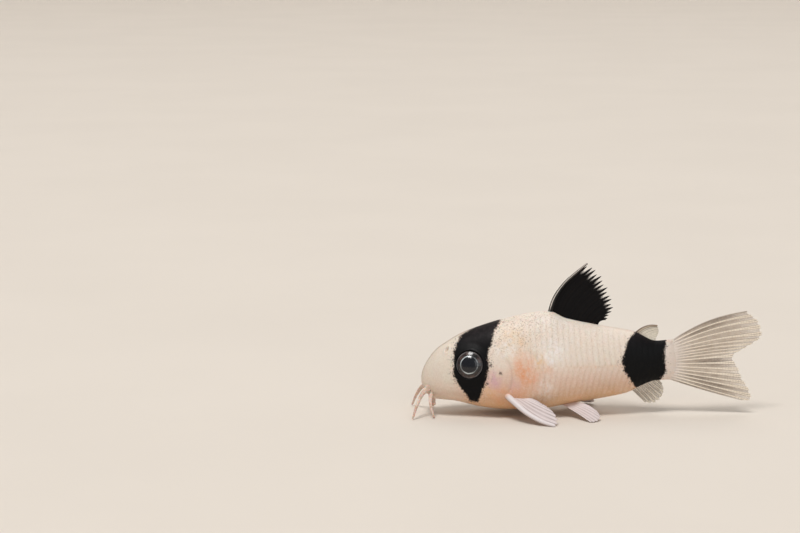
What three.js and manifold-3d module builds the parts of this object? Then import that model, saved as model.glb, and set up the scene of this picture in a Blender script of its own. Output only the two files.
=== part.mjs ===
// A panda corydoras catfish, life size, propped on its paired fins and barbels over the floor.
// Millimetres, +Z up. The head points along -X, the fish's left side faces -Y.
// Lengths along the fish are stations: how far a place lies behind the snout tip.
import * as THREE from "three";
import { ParametricGeometry } from "three/addons/geometries/ParametricGeometry.js";
import { mergeGeometries, mergeVertices } from "three/addons/utils/BufferGeometryUtils.js";
import Module from "manifold-3d";

const wasm = await Module();
wasm.setup();

// Driving dimensions
const FLESH_END = 37.3; // the fleshy root of the tail fin ends in a thin upright edge here
const ORIGIN_STATION = 24.2; // the frame's origin lies under this station, mid-length
const NOSE_HEIGHT = 5.1;
const NOSE_ROUND = 3; // the outline above and below rounds off over this length
const NOSE_BLUNT = 4; // the outline from above rounds off over this length
const TAIL_ROUND = 1.2; // the tail stalk's end rounds off over this length, seen from above
const HEAD_END = 13.3; // the head and the trunk part here
const HEAD_LEAN = 8; // degrees that this cut leans
const STALK_START = 30.9; // the trunk and the tail stalk part here
const CUT = 0.15; // gap between neighbouring solids
const ROD_SIDES = 8;
const FIN_EDGE = 0.55; // thickness of a fin near its margin
const FIN_RIB = 0.25; // share of a fin's thickness that stands out over its rays
const WELD = 1e-4; // vertices closer than this are one

const at = (s, y, z) => new THREE.Vector3(s - ORIGIN_STATION, y, z);
const mix = (low, high, t) => low + (high - low) * t;
const smoothLine = (points) => {
  const places = points.map((p) => at(...p));
  return new THREE.CatmullRomCurve3(places, false, "centripetal");
};

// Outlines as [station, size], with only the points that the shape needs
const BACK = [[0, 8.4], [2.7, 9.95], [5.6, 11.75], [8.6, 12.95], [12, 14], [15.5, 14.85], [18.5, 15.15],
  [21, 14.1], [25.6, 13.15], [30.8, 12.2], [34.3, 10.75], [37.3, 11.1]];
const BELLY = [[0, 2.25], [4.2, 2.1], [8.5, 1.25], [12, 0.9], [17.3, 0.95], [20.5, 1.45], [26, 2.3],
  [30, 3.1], [32, 4.1], [34.3, 4.9], [37.3, 4.6]];
const HALF_WIDTH = [[0, 2.5], [3, 3.1], [6.9, 3.75], [11, 4.55], [14.5, 4.75], [18, 4.55], [24, 3.6],
  [30, 2.4], [34, 1.55], [36, 1.2], [37.3, 0.95]];
const WIDEST_HEIGHT = [[0, 4.9], [8, 5], [15, 5.2], [20, 5.8], [30, 7.3], [37.3, 7.85]];
const UPPER_SQUARENESS = [[0, 2.1], [10, 2.1], [18.5, 1.8], [28, 1.95], [37.3, 2.2]];
const LOWER_SQUARENESS = [[0, 2.2], [8, 2.7], [16, 3], [26, 2.5], [37.3, 2.2]];

// A curve through stations that never overshoots them
function profile(points) {
  const n = points.length;
  const slope = points.slice(1).map(([x, y], i) => (y - points[i][1]) / (x - points[i][0]));
  const tangent = points.map((_, i) => {
    if (i === 0) return slope[0];
    if (i === n - 1) return slope[n - 2];
    const [a, b] = [slope[i - 1], slope[i]];
    return a * b <= 0 ? 0 : (2 * a * b) / (a + b);
  });
  return (s) => {
    const x = Math.min(Math.max(s, points[0][0]), points[n - 1][0]);
    let i = 0;
    while (i < n - 2 && x > points[i + 1][0]) i += 1;
    const [x0, y0] = points[i];
    const [x1, y1] = points[i + 1];
    const h = x1 - x0;
    const t = (x - x0) / h;
    return y0 * (1 + 2 * t) * (1 - t) ** 2 + tangent[i] * h * t * (1 - t) ** 2
      + y1 * t * t * (3 - 2 * t) + tangent[i + 1] * h * t * t * (t - 1);
  };
}

const backAt = profile(BACK);
const bellyAt = profile(BELLY);
const widthAt = profile(HALF_WIDTH);
const widestAt = profile(WIDEST_HEIGHT);
const upperAt = profile(UPPER_SQUARENESS);
const lowerAt = profile(LOWER_SQUARENESS);
const quarterRound = (s, length) => (s >= length ? 1 : Math.sqrt(1 - (1 - s / length) ** 2));
const signedPower = (value, power) => Math.sign(value) * Math.abs(value) ** power;

// The section of the body at a station: top, bottom, half width and where it is widest
function section(s) {
  const round = quarterRound(s, NOSE_ROUND);
  const tail = quarterRound(FLESH_END - s, TAIL_ROUND);
  return {
    top: NOSE_HEIGHT + (backAt(s) - NOSE_HEIGHT) * round,
    bottom: NOSE_HEIGHT + (bellyAt(s) - NOSE_HEIGHT) * round,
    half: widthAt(s) * quarterRound(s, NOSE_BLUNT) * tail,
    widest: NOSE_HEIGHT + (widestAt(s) - NOSE_HEIGHT) * round,
    upper: 2 / upperAt(s),
    lower: 2 / lowerAt(s),
  };
}

// A point of the skin at a station and an angle round the body, which is 0 on the left side and a
// quarter turn on the back
function skinPoint(s, angle, grow, target) {
  const { top, bottom, half, widest, upper, lower } = section(s);
  const [c, d] = [Math.cos(angle), Math.sin(angle)];
  const power = d >= 0 ? upper : lower;
  const reach = d >= 0 ? top - widest : widest - bottom;
  const y = -(half + grow) * signedPower(c, power);
  const z = widest + (reach + grow) * signedPower(d, power);
  return target.set(s - ORIGIN_STATION, Math.abs(y) < 1e-6 ? 0 : y, z);
}

// Half the body's width at a station and a height
function halfWidthAt(s, z) {
  const { top, bottom, half, widest, upper, lower } = section(s);
  const reach = z >= widest ? top - widest : widest - bottom;
  const power = z >= widest ? upper : lower;
  const share = Math.min(Math.abs(z - widest) / reach, 1);
  return half * (1 - share ** (2 / power)) ** (power / 2);
}

// A closed solid from a geometry class, its triangles facing out
function solidFrom(geometry) {
  const bare = geometry.clone();
  bare.deleteAttribute("normal");
  bare.deleteAttribute("uv");
  const merged = mergeVertices(bare, WELD);
  const corners = Array.from(merged.index.array);
  const faces = [];
  for (let i = 0; i < corners.length; i += 3) {
    const [a, b, c] = corners.slice(i, i + 3);
    if (a !== b && b !== c && c !== a) faces.push([a, b, c]);
  }
  const build = (list) => new wasm.Manifold(new wasm.Mesh({
    numProp: 3,
    vertProperties: merged.attributes.position.array,
    triVerts: new Uint32Array(list.flat()),
  }));
  const solid = build(faces);
  return solid.volume() >= 0 ? solid : build(faces.map(([a, b, c]) => [b, a, c]));
}

// A geometry for the viewer from a solid
function geometryFrom(solid) {
  const { numProp, numVert, vertProperties, triVerts } = solid.getMesh();
  const place = new Float32Array(numVert * 3);
  for (let i = 0; i < numVert; i += 1) {
    place.set(vertProperties.subarray(i * numProp, i * numProp + 3), i * 3);
  }
  const geometry = new THREE.BufferGeometry();
  geometry.setAttribute("position", new THREE.BufferAttribute(place, 3));
  geometry.setIndex(new THREE.BufferAttribute(new Uint32Array(triVerts), 1));
  geometry.computeVertexNormals();
  return geometry;
}

// The whole body as one loft, its rings closer together at the snout
function bodySolid(grow, rings, around) {
  const surface = (u, v, target) => {
    const s = Math.min(FLESH_END, Math.max(0, FLESH_END * u * (0.35 + 0.65 * u * (1.5 - 0.5 * u))));
    const swell = grow * quarterRound(s, 0.5) * quarterRound(FLESH_END - s, TAIL_ROUND);
    skinPoint(s, 2 * Math.PI * v, swell, target);
    target.x += grow * (s / FLESH_END) ** 12;
  };
  return solidFrom(new ParametricGeometry(surface, rings, around));
}

function boxSolid(length, width, height, x, y, z) {
  return solidFrom(new THREE.BoxGeometry(length, width, height).translate(x, y, z));
}

// Rows set evenly between the two borders of a blade, with one row close to each border
function rowPlace(t, count, lip) {
  const k = Math.round(t * count);
  if (k === 0 || k === count) return k / count;
  return lip + (1 - 2 * lip) * ((k - 1) / (count - 2));
}

// A closed blade of rays that fan out from a root line to a margin line. It is ribbed where the rays
// run. bow(u, v) shifts the sheet, and a leading rod draws its front border along itself.
function bladeSolid({ rays, rows, thick, root, margin, bow, leading }) {
  const columns = 2 * (rays - 1) + 2;
  const rootLine = smoothLine(root);
  const marginLine = smoothLine(margin);
  const leadLine = leading && smoothLine(leading.points);
  const straight = (u, v) => rootLine.getPoint(u).lerp(marginLine.getPoint(u), v);
  const middle = (u, v) => {
    const place = straight(u, v).add(bow(u, v));
    if (!leadLine) return place;
    const pull = leadLine.getPoint(v).sub(straight(0, v)).sub(bow(0, v));
    return place.addScaledVector(pull, (1 - u) ** 2);
  };
  const surface = (side) => (i, j, target) => {
    const u = rowPlace(i, columns, 0.03);
    const v = rowPlace(j, rows, 0.04);
    target.copy(middle(u, v));
    if (u <= 0 || u >= 1 || v <= 0 || v >= 1) return;
    const step = 0.02;
    const along = middle(u, v + step).sub(middle(u, v - step));
    const across = middle(u + step, v).sub(middle(u - step, v));
    const onRay = Math.abs(Math.cos(Math.PI * (rays - 1) * u));
    const half = 0.5 * side * mix(thick, FIN_EDGE, v) * (1 - FIN_RIB + FIN_RIB * onRay);
    target.addScaledVector(across.cross(along).normalize(), half);
  };
  const front = new ParametricGeometry(surface(1), columns, rows);
  const back = new ParametricGeometry(surface(-1), columns, rows);
  back.setIndex(Array.from(back.index.array).reverse());
  return solidFrom(mergeGeometries([front, back]));
}

// A tapered round rod along a smooth curve, for spines and barbels
function rodSolid({ points, rootRadius, tipRadius, steps }, grow = 0) {
  const curve = smoothLine(points);
  const frames = curve.computeFrenetFrames(steps, false);
  const surface = (u, v, target) => {
    const k = Math.min(steps, Math.max(0, Math.round(u * steps)));
    const ends = k === 0 || k === steps;
    const radius = ends ? 0 : mix(rootRadius, tipRadius, k / steps) + grow;
    const angle = 2 * Math.PI * v;
    curve.getPointAt(Math.min(1, Math.max(0, u)), target);
    target.addScaledVector(frames.normals[k], radius * Math.cos(angle));
    target.addScaledVector(frames.binormals[k], radius * Math.sin(angle));
  };
  return solidFrom(new ParametricGeometry(surface, steps, ROD_SIDES));
}

const mirrored = (solid) => solid.mirror([0, 1, 0]);

// Body, and the tools that part it
const whole = bodySolid(0, 38, 32);
const clearance = bodySolid(CUT, 36, 28);
const aboveFloor = boxSolid(80, 40, 40, 0, 0, 20);

// Eyes: flattened balls, in sockets with a low swelling round them
const EYE = { station: 6.95, height: 7.85, radius: 2, depth: 1.15, rise: 0.75 };
const ORBIT = { radius: 2.75, depth: 1.5, sunk: 1.15 };
const eyeSide = halfWidthAt(EYE.station, EYE.height);
const eyeCentre = at(EYE.station, -(eyeSide + EYE.rise - EYE.depth), EYE.height);
function eyeSolid(grow) {
  const ball = new THREE.SphereGeometry(1, 16, 8).rotateX(Math.PI / 2);
  ball.scale(EYE.radius + grow, EYE.depth + grow, EYE.radius + grow);
  return solidFrom(ball.translate(eyeCentre.x, eyeCentre.y, eyeCentre.z));
}
function orbitSolid() {
  const swelling = new THREE.SphereGeometry(1, 20, 10).rotateX(Math.PI / 2);
  swelling.scale(ORBIT.radius, ORBIT.depth, ORBIT.radius);
  return solidFrom(swelling.translate(eyeCentre.x, -(eyeSide - ORBIT.sunk), eyeCentre.z));
}

// Gill covers: oval plates lifted out of the cheek
const GILL = { station: 10.9, height: 5.6, halfLength: 1.75, halfHeight: 3.1, lean: -0.22, plate: 1.3 };
function gillSolid(grow) {
  const outline = new THREE.Shape();
  outline.absellipse(0, 0, GILL.halfLength + grow, GILL.halfHeight + grow, 0, 2 * Math.PI);
  const prism = new THREE.ExtrudeGeometry(outline, { depth: 6, bevelEnabled: false, curveSegments: 9 });
  prism.rotateX(Math.PI / 2).rotateY(GILL.lean);
  const inner = halfWidthAt(GILL.station, GILL.height) - GILL.plate - grow;
  return solidFrom(prism.translate(GILL.station - ORIGIN_STATION, -inner, GILL.height));
}

// Fins on the midline. Every point is [station, side, height].
const flat = (points) => points.map(([s, z]) => [s, 0, z]);
const still = () => new THREE.Vector3();
const DORSAL_SPINE = {
  points: flat([[18.55, 14.3], [19.35, 17.0], [20.8, 19.2], [22.6, 20.9], [24.1, 22.2]]),
  rootRadius: 0.5, tipRadius: 0.27, steps: 9,
};
const DORSAL = {
  rays: 8, rows: 6, thick: 0.8, leading: DORSAL_SPINE,
  root: flat([[19.3, 14.4], [25.6, 12.5]]),
  margin: flat([[24.0, 21.9], [25.1, 21.2], [26.1, 20.2], [26.9, 18.7], [27.6, 17], [27.9, 15.5],
    [26.9, 13.8]]),
  bow: (u, v) => {
    const side = 0.25 * v * Math.sin(5 * u);
    return new THREE.Vector3(-0.3, side, 0.4).multiplyScalar(Math.sin(Math.PI * v));
  },
};
const ADIPOSE_SPINE = {
  points: flat([[31.1, 11.7], [32.2, 12.55], [33.3, 12.95], [34.4, 12.95]]),
  rootRadius: 0.42, tipRadius: 0.26, steps: 6,
};
const ADIPOSE = {
  rays: 3, rows: 4, thick: 0.6, leading: ADIPOSE_SPINE, bow: still,
  root: flat([[31.6, 11.5], [33.9, 10.3]]),
  margin: flat([[34.4, 12.8], [34.6, 12.1], [34.1, 10.9]]),
};
const ANAL = {
  rays: 7, rows: 5, thick: 0.65, bow: still,
  root: flat([[30.4, 3.8], [34.3, 5.4]]),
  margin: flat([[32.8, 1.5], [34.0, 1.45], [35.0, 2.1], [35.5, 3.2], [35.2, 4.4]]),
};

// The tail fin's two lobes bow up and down, and the whole fan waves gently from side to side
const TAIL_WAVE = 0.55;
const tailWave = (u, v) => TAIL_WAVE * v * v * Math.sin(Math.PI * (1.5 * u + 0.2));
const UPPER_LOBE = {
  rays: 8, rows: 7, thick: 0.85,
  root: flat([[36.3, 10.5], [36.3, 7.95]]),
  margin: flat([[47.4, 15.1], [49, 13.7], [49.8, 11.6], [48.5, 10.3], [46.9, 9.4], [45.5, 8.6]]),
  bow: (u, v) => new THREE.Vector3(0, tailWave(0.5 * u, v), 0.9 * (1 - u) * Math.sin(Math.PI * v)),
};
const LOWER_LOBE = {
  rays: 8, rows: 7, thick: 0.85,
  root: flat([[36.3, 7.8], [36.3, 5.2]]),
  margin: flat([[45.5, 8.25], [46.2, 6.8], [47.1, 4.9], [48, 3.3], [48.3, 2.1], [46.8, 1.95]]),
  bow: (u, v) => new THREE.Vector3(0, tailWave(0.5 + 0.5 * u, v), -0.15 * u * Math.sin(Math.PI * v)),
};

// Paired fins slope out and down from the body, and their tips rest on the floor
const arched = (height) => (u, v) => {
  const lift = height * Math.sin(Math.PI * v) * (0.3 + 0.7 * u);
  return new THREE.Vector3(0, 0, lift);
};
const PECTORAL_SPINE = {
  points: [[12.2, -3.9, 3.6], [13.2, -5.5, 2.9], [15.0, -7.3, 1.65], [17.1, -8.6, 0.65], [19.1, -9.3, 0.1]],
  rootRadius: 0.5, tipRadius: 0.3, steps: 9,
};
const PECTORAL = {
  rays: 7, rows: 5, thick: 0.65, leading: PECTORAL_SPINE, bow: arched(0.4),
  root: [[12.6, -3.8, 3.6], [14.6, -4.0, 3.0]],
  margin: [[19, -9.2, 0.25], [19.4, -8.2, 0.6], [19.2, -7.1, 1.3], [18.4, -6.3, 2.0], [17.2, -5.8, 2.6]],
};
const PELVIC = {
  rays: 6, rows: 5, thick: 0.65, bow: arched(0.35),
  root: [[20.5, -2.3, 1.7], [22.4, -2.4, 2.1]],
  margin: [[24.3, -6.9, 0.1], [25.3, -6.3, 0.15], [25.8, -5.2, 0.6], [25.4, -4.2, 1.2]],
};

// Barbels: two at each corner of the mouth and a short pair on the lower lip
const BARBELS = {
  upper: {
    points: [[1.0, -1.5, 4.0], [0.1, -2.6, 3.3], [-0.7, -3.9, 1.8], [-1.35, -5.0, -0.2]],
    rootRadius: 0.42, tipRadius: 0.26, steps: 9,
  },
  lower: {
    points: [[1.5, -1.6, 3.2], [1.3, -2.6, 2.5], [1.5, -3.4, 1.3], [1.9, -4.0, -0.2]],
    rootRadius: 0.38, tipRadius: 0.26, steps: 8,
  },
  chin: {
    points: [[2.0, -0.7, 2.9], [1.8, -0.9, 2.1], [2.0, -1.1, 1.3]],
    rootRadius: 0.34, tipRadius: 0.26, steps: 5,
  },
};

const finish = (name, color, roughness) => (
  new THREE.MeshStandardMaterial({ name, color, roughness, metalness: 0 })
);
const MATERIALS = {
  skin: finish("skin", 0xd9bfa8, 0.45),
  black: finish("black_fin", 0x0d0d0e, 0.5),
  clear: finish("clear_fin", 0xcdc2b0, 0.4),
  spine: finish("spine", 0xd8d2cc, 0.4),
  eye: finish("eye", 0x101216, 0.08),
};

const fish = new THREE.Group();
function addNode(name, solid, material) {
  const node = new THREE.Mesh(geometryFrom(solid), material);
  node.name = name;
  fish.add(node);
}

// Head, gill covers, trunk and tail stalk, parted by thin cuts
const largest = (solid) => solid.decompose().sort((a, b) => b.volume() - a.volume())[0];
const behind = (station) => boxSolid(40, 30, 40, station - ORIGIN_STATION + 20, 0, 8);
const headTool = boxSolid(80, 30, 60, -40, 0, 0).rotate([0, HEAD_LEAN, 0])
  .translate([HEAD_END - ORIGIN_STATION, 0, 7]);
const headToolWide = headTool.translate([CUT, 0, 0]);

const gill = whole.intersect(gillSolid(0));
const orbit = orbitSolid();
const headWhole = whole.intersect(headTool).add(orbit).add(mirrored(orbit));
const headCuts = [eyeSolid(CUT), gillSolid(CUT)];
const head = headCuts.reduce((solid, tool) => solid.subtract(tool).subtract(mirrored(tool)), headWhole);
const rear = whole.subtract(headToolWide);
const trunk = rear.subtract(behind(STALK_START));
const stalk = rear.intersect(behind(STALK_START + CUT));
addNode("head", largest(head), MATERIALS.skin);
addNode("gill_cover_left", gill, MATERIALS.skin);
addNode("gill_cover_right", mirrored(gill), MATERIALS.skin);
addNode("trunk", trunk, MATERIALS.skin);
addNode("tail_stalk", stalk, MATERIALS.skin);
addNode("eye_left", eyeSolid(0), MATERIALS.eye);
addNode("eye_right", mirrored(eyeSolid(0)), MATERIALS.eye);

const clearOfBody = (solid) => largest(solid.subtract(clearance));
const finBehind = (fin, spine) => clearOfBody(bladeSolid(fin).subtract(rodSolid(spine, CUT)));
addNode("dorsal_fin", finBehind(DORSAL, DORSAL_SPINE), MATERIALS.black);
addNode("dorsal_spine", clearOfBody(rodSolid(DORSAL_SPINE)), MATERIALS.spine);
addNode("adipose_fin", finBehind(ADIPOSE, ADIPOSE_SPINE), MATERIALS.clear);
addNode("adipose_spine", clearOfBody(rodSolid(ADIPOSE_SPINE)), MATERIALS.spine);
addNode("anal_fin", clearOfBody(bladeSolid(ANAL)), MATERIALS.clear);
addNode("caudal_fin_upper", clearOfBody(bladeSolid(UPPER_LOBE)), MATERIALS.clear);
addNode("caudal_fin_lower", clearOfBody(bladeSolid(LOWER_LOBE)), MATERIALS.clear);

const pairedParts = [
  ["pectoral_fin", finBehind(PECTORAL, PECTORAL_SPINE), MATERIALS.clear],
  ["pectoral_spine", clearOfBody(rodSolid(PECTORAL_SPINE)), MATERIALS.spine],
  ["pelvic_fin", clearOfBody(bladeSolid(PELVIC)), MATERIALS.clear],
];
for (const [name, barbel] of Object.entries(BARBELS)) {
  pairedParts.push([`barbel_${name}`, clearOfBody(rodSolid(barbel)), MATERIALS.skin]);
}
for (const [name, solid, material] of pairedParts) {
  const onFloor = solid.intersect(aboveFloor);
  addNode(`${name}_left`, onFloor, material);
  addNode(`${name}_right`, mirrored(onFloor), material);
}

export default fish;
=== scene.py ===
"""Looks of a life-size panda corydoras catfish model, resting on its fin and barbel tips.

Sizes in the classes are millimetres. A station is the distance behind the snout tip, and it runs
along +X. The fish's left side faces -Y. Meshes are written in metres, in the frame of the solids.
"""
import logging
import math
from dataclasses import dataclass, field
from enum import Enum
from typing import Callable, Sequence

import bmesh
import bpy
import numpy as np
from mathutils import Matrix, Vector


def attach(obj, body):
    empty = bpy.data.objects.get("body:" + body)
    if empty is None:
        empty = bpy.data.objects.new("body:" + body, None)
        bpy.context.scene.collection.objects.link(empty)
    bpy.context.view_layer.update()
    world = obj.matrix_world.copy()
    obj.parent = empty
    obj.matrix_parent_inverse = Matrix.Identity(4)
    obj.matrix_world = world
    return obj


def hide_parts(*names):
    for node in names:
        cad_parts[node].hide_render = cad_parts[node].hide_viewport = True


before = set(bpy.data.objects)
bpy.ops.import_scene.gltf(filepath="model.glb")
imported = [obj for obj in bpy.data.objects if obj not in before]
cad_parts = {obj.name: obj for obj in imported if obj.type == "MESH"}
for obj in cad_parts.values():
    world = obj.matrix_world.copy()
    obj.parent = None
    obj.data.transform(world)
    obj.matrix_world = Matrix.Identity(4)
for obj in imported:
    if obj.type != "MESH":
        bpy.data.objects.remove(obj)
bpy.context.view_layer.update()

LOG = logging.getLogger("corydoras")
MM = 0.001
TINY = 1e-12
WELD_DISTANCE = 2e-7
ORIGIN_STATION = 24.2
FLESH_END = 37.3
Array = np.ndarray
Points = Sequence[Sequence[float]]
Pair = tuple[float, float]
Range = tuple[float, float]
Curve = Callable[[Array], Array]
Bow = Callable[[Array, Array], Array]
Pieces = list[bpy.types.Object]
Socket = bpy.types.NodeSocket
Tone = tuple[float, float, float, float]


class Side(Enum):
    """Which flank of the fish a piece belongs to, with the sign of its Y."""

    LEFT = 1
    RIGHT = -1

    @property
    def word(self) -> str:
        """The side's name as the pieces use it."""
        return self.name.lower()


MIDLINE = (Side.LEFT,)
BOTH = tuple(Side)


def profile(points: Points) -> Curve:
    """Makes a curve through stations that never overshoots them.

    Args:
        points: Pairs of station and size, in order of station.

    Returns:
        A function from stations to sizes.
    """
    xs = np.array([p[0] for p in points], float)
    ys = np.array([p[1] for p in points], float)
    slope = np.diff(ys) / np.diff(xs)
    tangent = np.concatenate([slope[:1], np.zeros(len(xs) - 2), slope[-1:]])
    before, after = slope[:-1], slope[1:]
    same = before * after > 0
    tangent[1:-1][same] = (2 * before * after)[same] / (before + after)[same]

    def curve(s: Array) -> Array:
        """The size at each station.

        Args:
            s: Stations.

        Returns:
            The sizes.
        """
        x = np.clip(s, xs[0], xs[-1])
        i = np.clip(np.searchsorted(xs, x, side="right") - 1, 0, len(xs) - 2)
        h = xs[i + 1] - xs[i]
        t = (x - xs[i]) / h
        low = ys[i] * (1 + 2 * t) * (1 - t) ** 2 + tangent[i] * h * t * (1 - t) ** 2
        return low + ys[i + 1] * t * t * (3 - 2 * t) + tangent[i + 1] * h * t * t * (t - 1)

    return curve


def smooth_line(points: Points) -> Curve:
    """Makes a smooth centripetal curve through points in space.

    Args:
        points: The points, as station, side and height.

    Returns:
        A function from shares of the curve, 0 to 1, to places.
    """
    p = np.array(points, float)
    p = np.vstack([2 * p[0] - p[1], p, 2 * p[-1] - p[-2]])
    gaps = np.maximum(np.sqrt(np.linalg.norm(np.diff(p, axis=0), axis=1)), TINY)

    def curve(t: Array) -> Array:
        """The place at each share of the curve.

        Args:
            t: Shares of the curve.

        Returns:
            The places.
        """
        x = np.clip(np.asarray(t, float), 0, 1) * (len(p) - 3)
        i = np.clip(np.floor(x).astype(int), 0, len(p) - 4)
        w = (x - i)[..., None]
        p0, p1, p2, p3 = p[i], p[i + 1], p[i + 2], p[i + 3]
        g0, g1, g2 = gaps[i][..., None], gaps[i + 1][..., None], gaps[i + 2][..., None]
        m1 = ((p1 - p0) / g0 - (p2 - p0) / (g0 + g1) + (p2 - p1) / g1) * g1
        m2 = ((p2 - p1) / g1 - (p3 - p1) / (g1 + g2) + (p3 - p2) / g2) * g1
        start = (2 * w**3 - 3 * w**2 + 1) * p1 + (w**3 - 2 * w**2 + w) * m1
        return start + (-2 * w**3 + 3 * w**2) * p2 + (w**3 - w**2) * m2

    return curve


def even_line(points: Points) -> Curve:
    """Makes a smooth curve through points whose shares are shares of its length.

    Args:
        points: The points, as station, side and height.

    Returns:
        A function from shares of the curve's length, 0 to 1, to places.
    """
    samples = 400
    line = smooth_line(points)
    shares = np.linspace(0, 1, samples)
    steps = np.linalg.norm(np.diff(line(shares), axis=0), axis=1)
    lengths = np.concatenate([[0.0], np.cumsum(steps)])

    def curve(t: Array) -> Array:
        """The place at each share of the curve's length."""
        return line(np.interp(t, lengths / lengths[-1], shares))

    return curve


def quarter_round(s: Array, length: float) -> Array:
    """Rises from 0 to 1 over a length as a quarter circle does."""
    return np.sqrt(1 - (1 - np.clip(s / length, 0, 1)) ** 2)


def signed_power(value: Array, power: Array) -> Array:
    """Raises a size to a power and keeps its sign."""
    return np.sign(value) * np.abs(value) ** power


def bump(x: Array, centre: float | Array, width: float) -> Array:
    """A soft bump of height 1 at a centre."""
    return np.exp(-(((x - centre) / width) ** 2))


def ease(x: Array, low: float, high: float) -> Array:
    """Eases from 0 at low to 1 at high."""
    t = np.clip((x - low) / (high - low), 0, 1)
    return t * t * (3 - 2 * t)


def window(x: Array, start: Range, end: Range) -> Array:
    """Rises from 0 to 1 over one range and falls back to 0 over another."""
    return ease(x, *start) * (1 - ease(x, *end))


def on_flank(side: Array) -> Array:
    """Rises from 0 near the midline to 1 on the flank, by the distance from the midline."""
    return ease(side, 1.6, 2.6)


def surface_normals(points: Array) -> Array:
    """Unit normals of a grid of places, by the cross product of its two directions."""
    normal = np.cross(np.gradient(points, axis=0), np.gradient(points, axis=1))
    return normal / np.maximum(np.linalg.norm(normal, axis=-1, keepdims=True), TINY)


def flat(points: Points) -> list[tuple[float, float, float]]:
    """Points of the midline plane from stations and heights."""
    return [(s, 0.0, z) for s, z in points]


def offsets(x: Array | float, y: Array | float, z: Array | float, like: Array) -> Array:
    """Joins three offsets, each a number or an array, into places."""
    return np.stack([np.broadcast_to(part, like.shape) for part in (x, y, z)], axis=-1)


def grid_faces(rows: int, columns: int, wrap: bool = False, first: int = 0) -> Array:
    """Numbers the corners of a grid's faces.

    Args:
        rows: Rows of vertices.
        columns: Vertices in each row.
        wrap: Whether the last column joins the first.
        first: Number of the grid's first vertex.

    Returns:
        Four corner numbers for each face.
    """
    last = columns if wrap else columns - 1
    i, j = np.meshgrid(np.arange(rows - 1), np.arange(last), indexing="ij")
    k = (j + 1) % columns
    corners = [i * columns + j, i * columns + k, (i + 1) * columns + k, (i + 1) * columns + j]
    return np.stack([c.ravel() for c in corners], axis=1) + first


def make_object(name: str, places: Array, faces: Array, masks: dict[str, Array]) -> bpy.types.Object:
    """Makes a smooth mesh object in the scene.

    Args:
        name: The piece's name.
        places: Vertices as station, side and height in millimetres.
        faces: Corner numbers of each face, four to a row.
        masks: Values for each vertex, by name, for the materials to read.

    Returns:
        The object, linked to the scene.
    """
    mesh = bpy.data.meshes.new(name)
    spots = (places - np.array([ORIGIN_STATION, 0, 0])) * MM
    mesh.from_pydata(spots.tolist(), [], faces.tolist())
    for mask, values in masks.items():
        layer = mesh.attributes.new(mask, "FLOAT", "POINT")
        layer.data.foreach_set("value", np.asarray(values, np.float32).ravel())
    work = bmesh.new()
    work.from_mesh(mesh)
    bmesh.ops.remove_doubles(work, verts=work.verts, dist=WELD_DISTANCE)
    bmesh.ops.recalc_face_normals(work, faces=work.faces)
    work.to_mesh(mesh)
    work.free()
    mesh.polygons.foreach_set("use_smooth", np.ones(len(mesh.polygons), bool))
    piece = bpy.data.objects.new(name, mesh)
    bpy.context.scene.collection.objects.link(piece)
    return piece


@dataclass
class Piece:
    """A mesh that stands for some solids, once on the midline or once on each flank."""

    name: str
    nodes: Sequence[str]
    slot: str

    def add(self, places: Array, faces: Array, masks: dict[str, Array],
            finish: bpy.types.Material, sides: Sequence[Side]) -> Pieces:
        """Adds the mesh to the scene for each side, dressed, and never below the floor.

        Args:
            places: Vertices of the left or only mesh.
            faces: Corner numbers of each face.
            masks: Values for each vertex, by name.
            finish: The material.
            sides: The flanks that carry it, or the left alone for a piece on the midline.

        Returns:
            The objects.
        """
        paired = len(sides) > 1
        made = []
        for side in sides:
            spots = places * np.array([1, side.value, 1])
            spots[:, 2] = np.maximum(spots[:, 2], 0.0)
            name = f"{self.name}_{side.word}" if paired else self.name
            nodes = [f"{node}_{side.word}" for node in self.nodes] if paired else self.nodes
            piece = make_object(name, spots, faces, masks)
            piece.data.materials.append(finish)
            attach(piece, "root")
            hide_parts(*nodes)
            made.append(piece)
        return made


@dataclass(frozen=True)
class Oval:
    """An oval on the flank, by its centre's station and height and its half length and height."""

    station: float
    height: float
    half_length: float
    half_height: float
    strength: float = 1.0
    lean: float = 0.0

    def reach(self, s: Array, z: Array) -> Array:
        """Distance of places from the centre, 1 at the oval's edge."""
        along = (s - self.station - self.lean * (z - self.height)) / self.half_length
        return np.sqrt(along**2 + ((z - self.height) / self.half_height) ** 2)

    def glow(self, s: Array, z: Array) -> Array:
        """Strength of a soft patch of the oval's size."""
        along = ((s - self.station) / self.half_length) ** 2
        return self.strength * np.exp(-along - ((z - self.height) / self.half_height) ** 2)


def tint(red: int, green: int, blue: int) -> Tone:
    """Makes a linear colour by the display's own curve.

    Args:
        red: The red of the display value, 0 to 255.
        green: The green of it.
        blue: The blue of it.

    Returns:
        The colour, opaque.
    """
    def linear(value: int) -> float:
        """One channel made linear."""
        c = value / 255
        return c / 12.92 if c <= 0.04045 else ((c + 0.055) / 1.055) ** 2.4

    return (linear(red), linear(green), linear(blue), 1.0)


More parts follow.
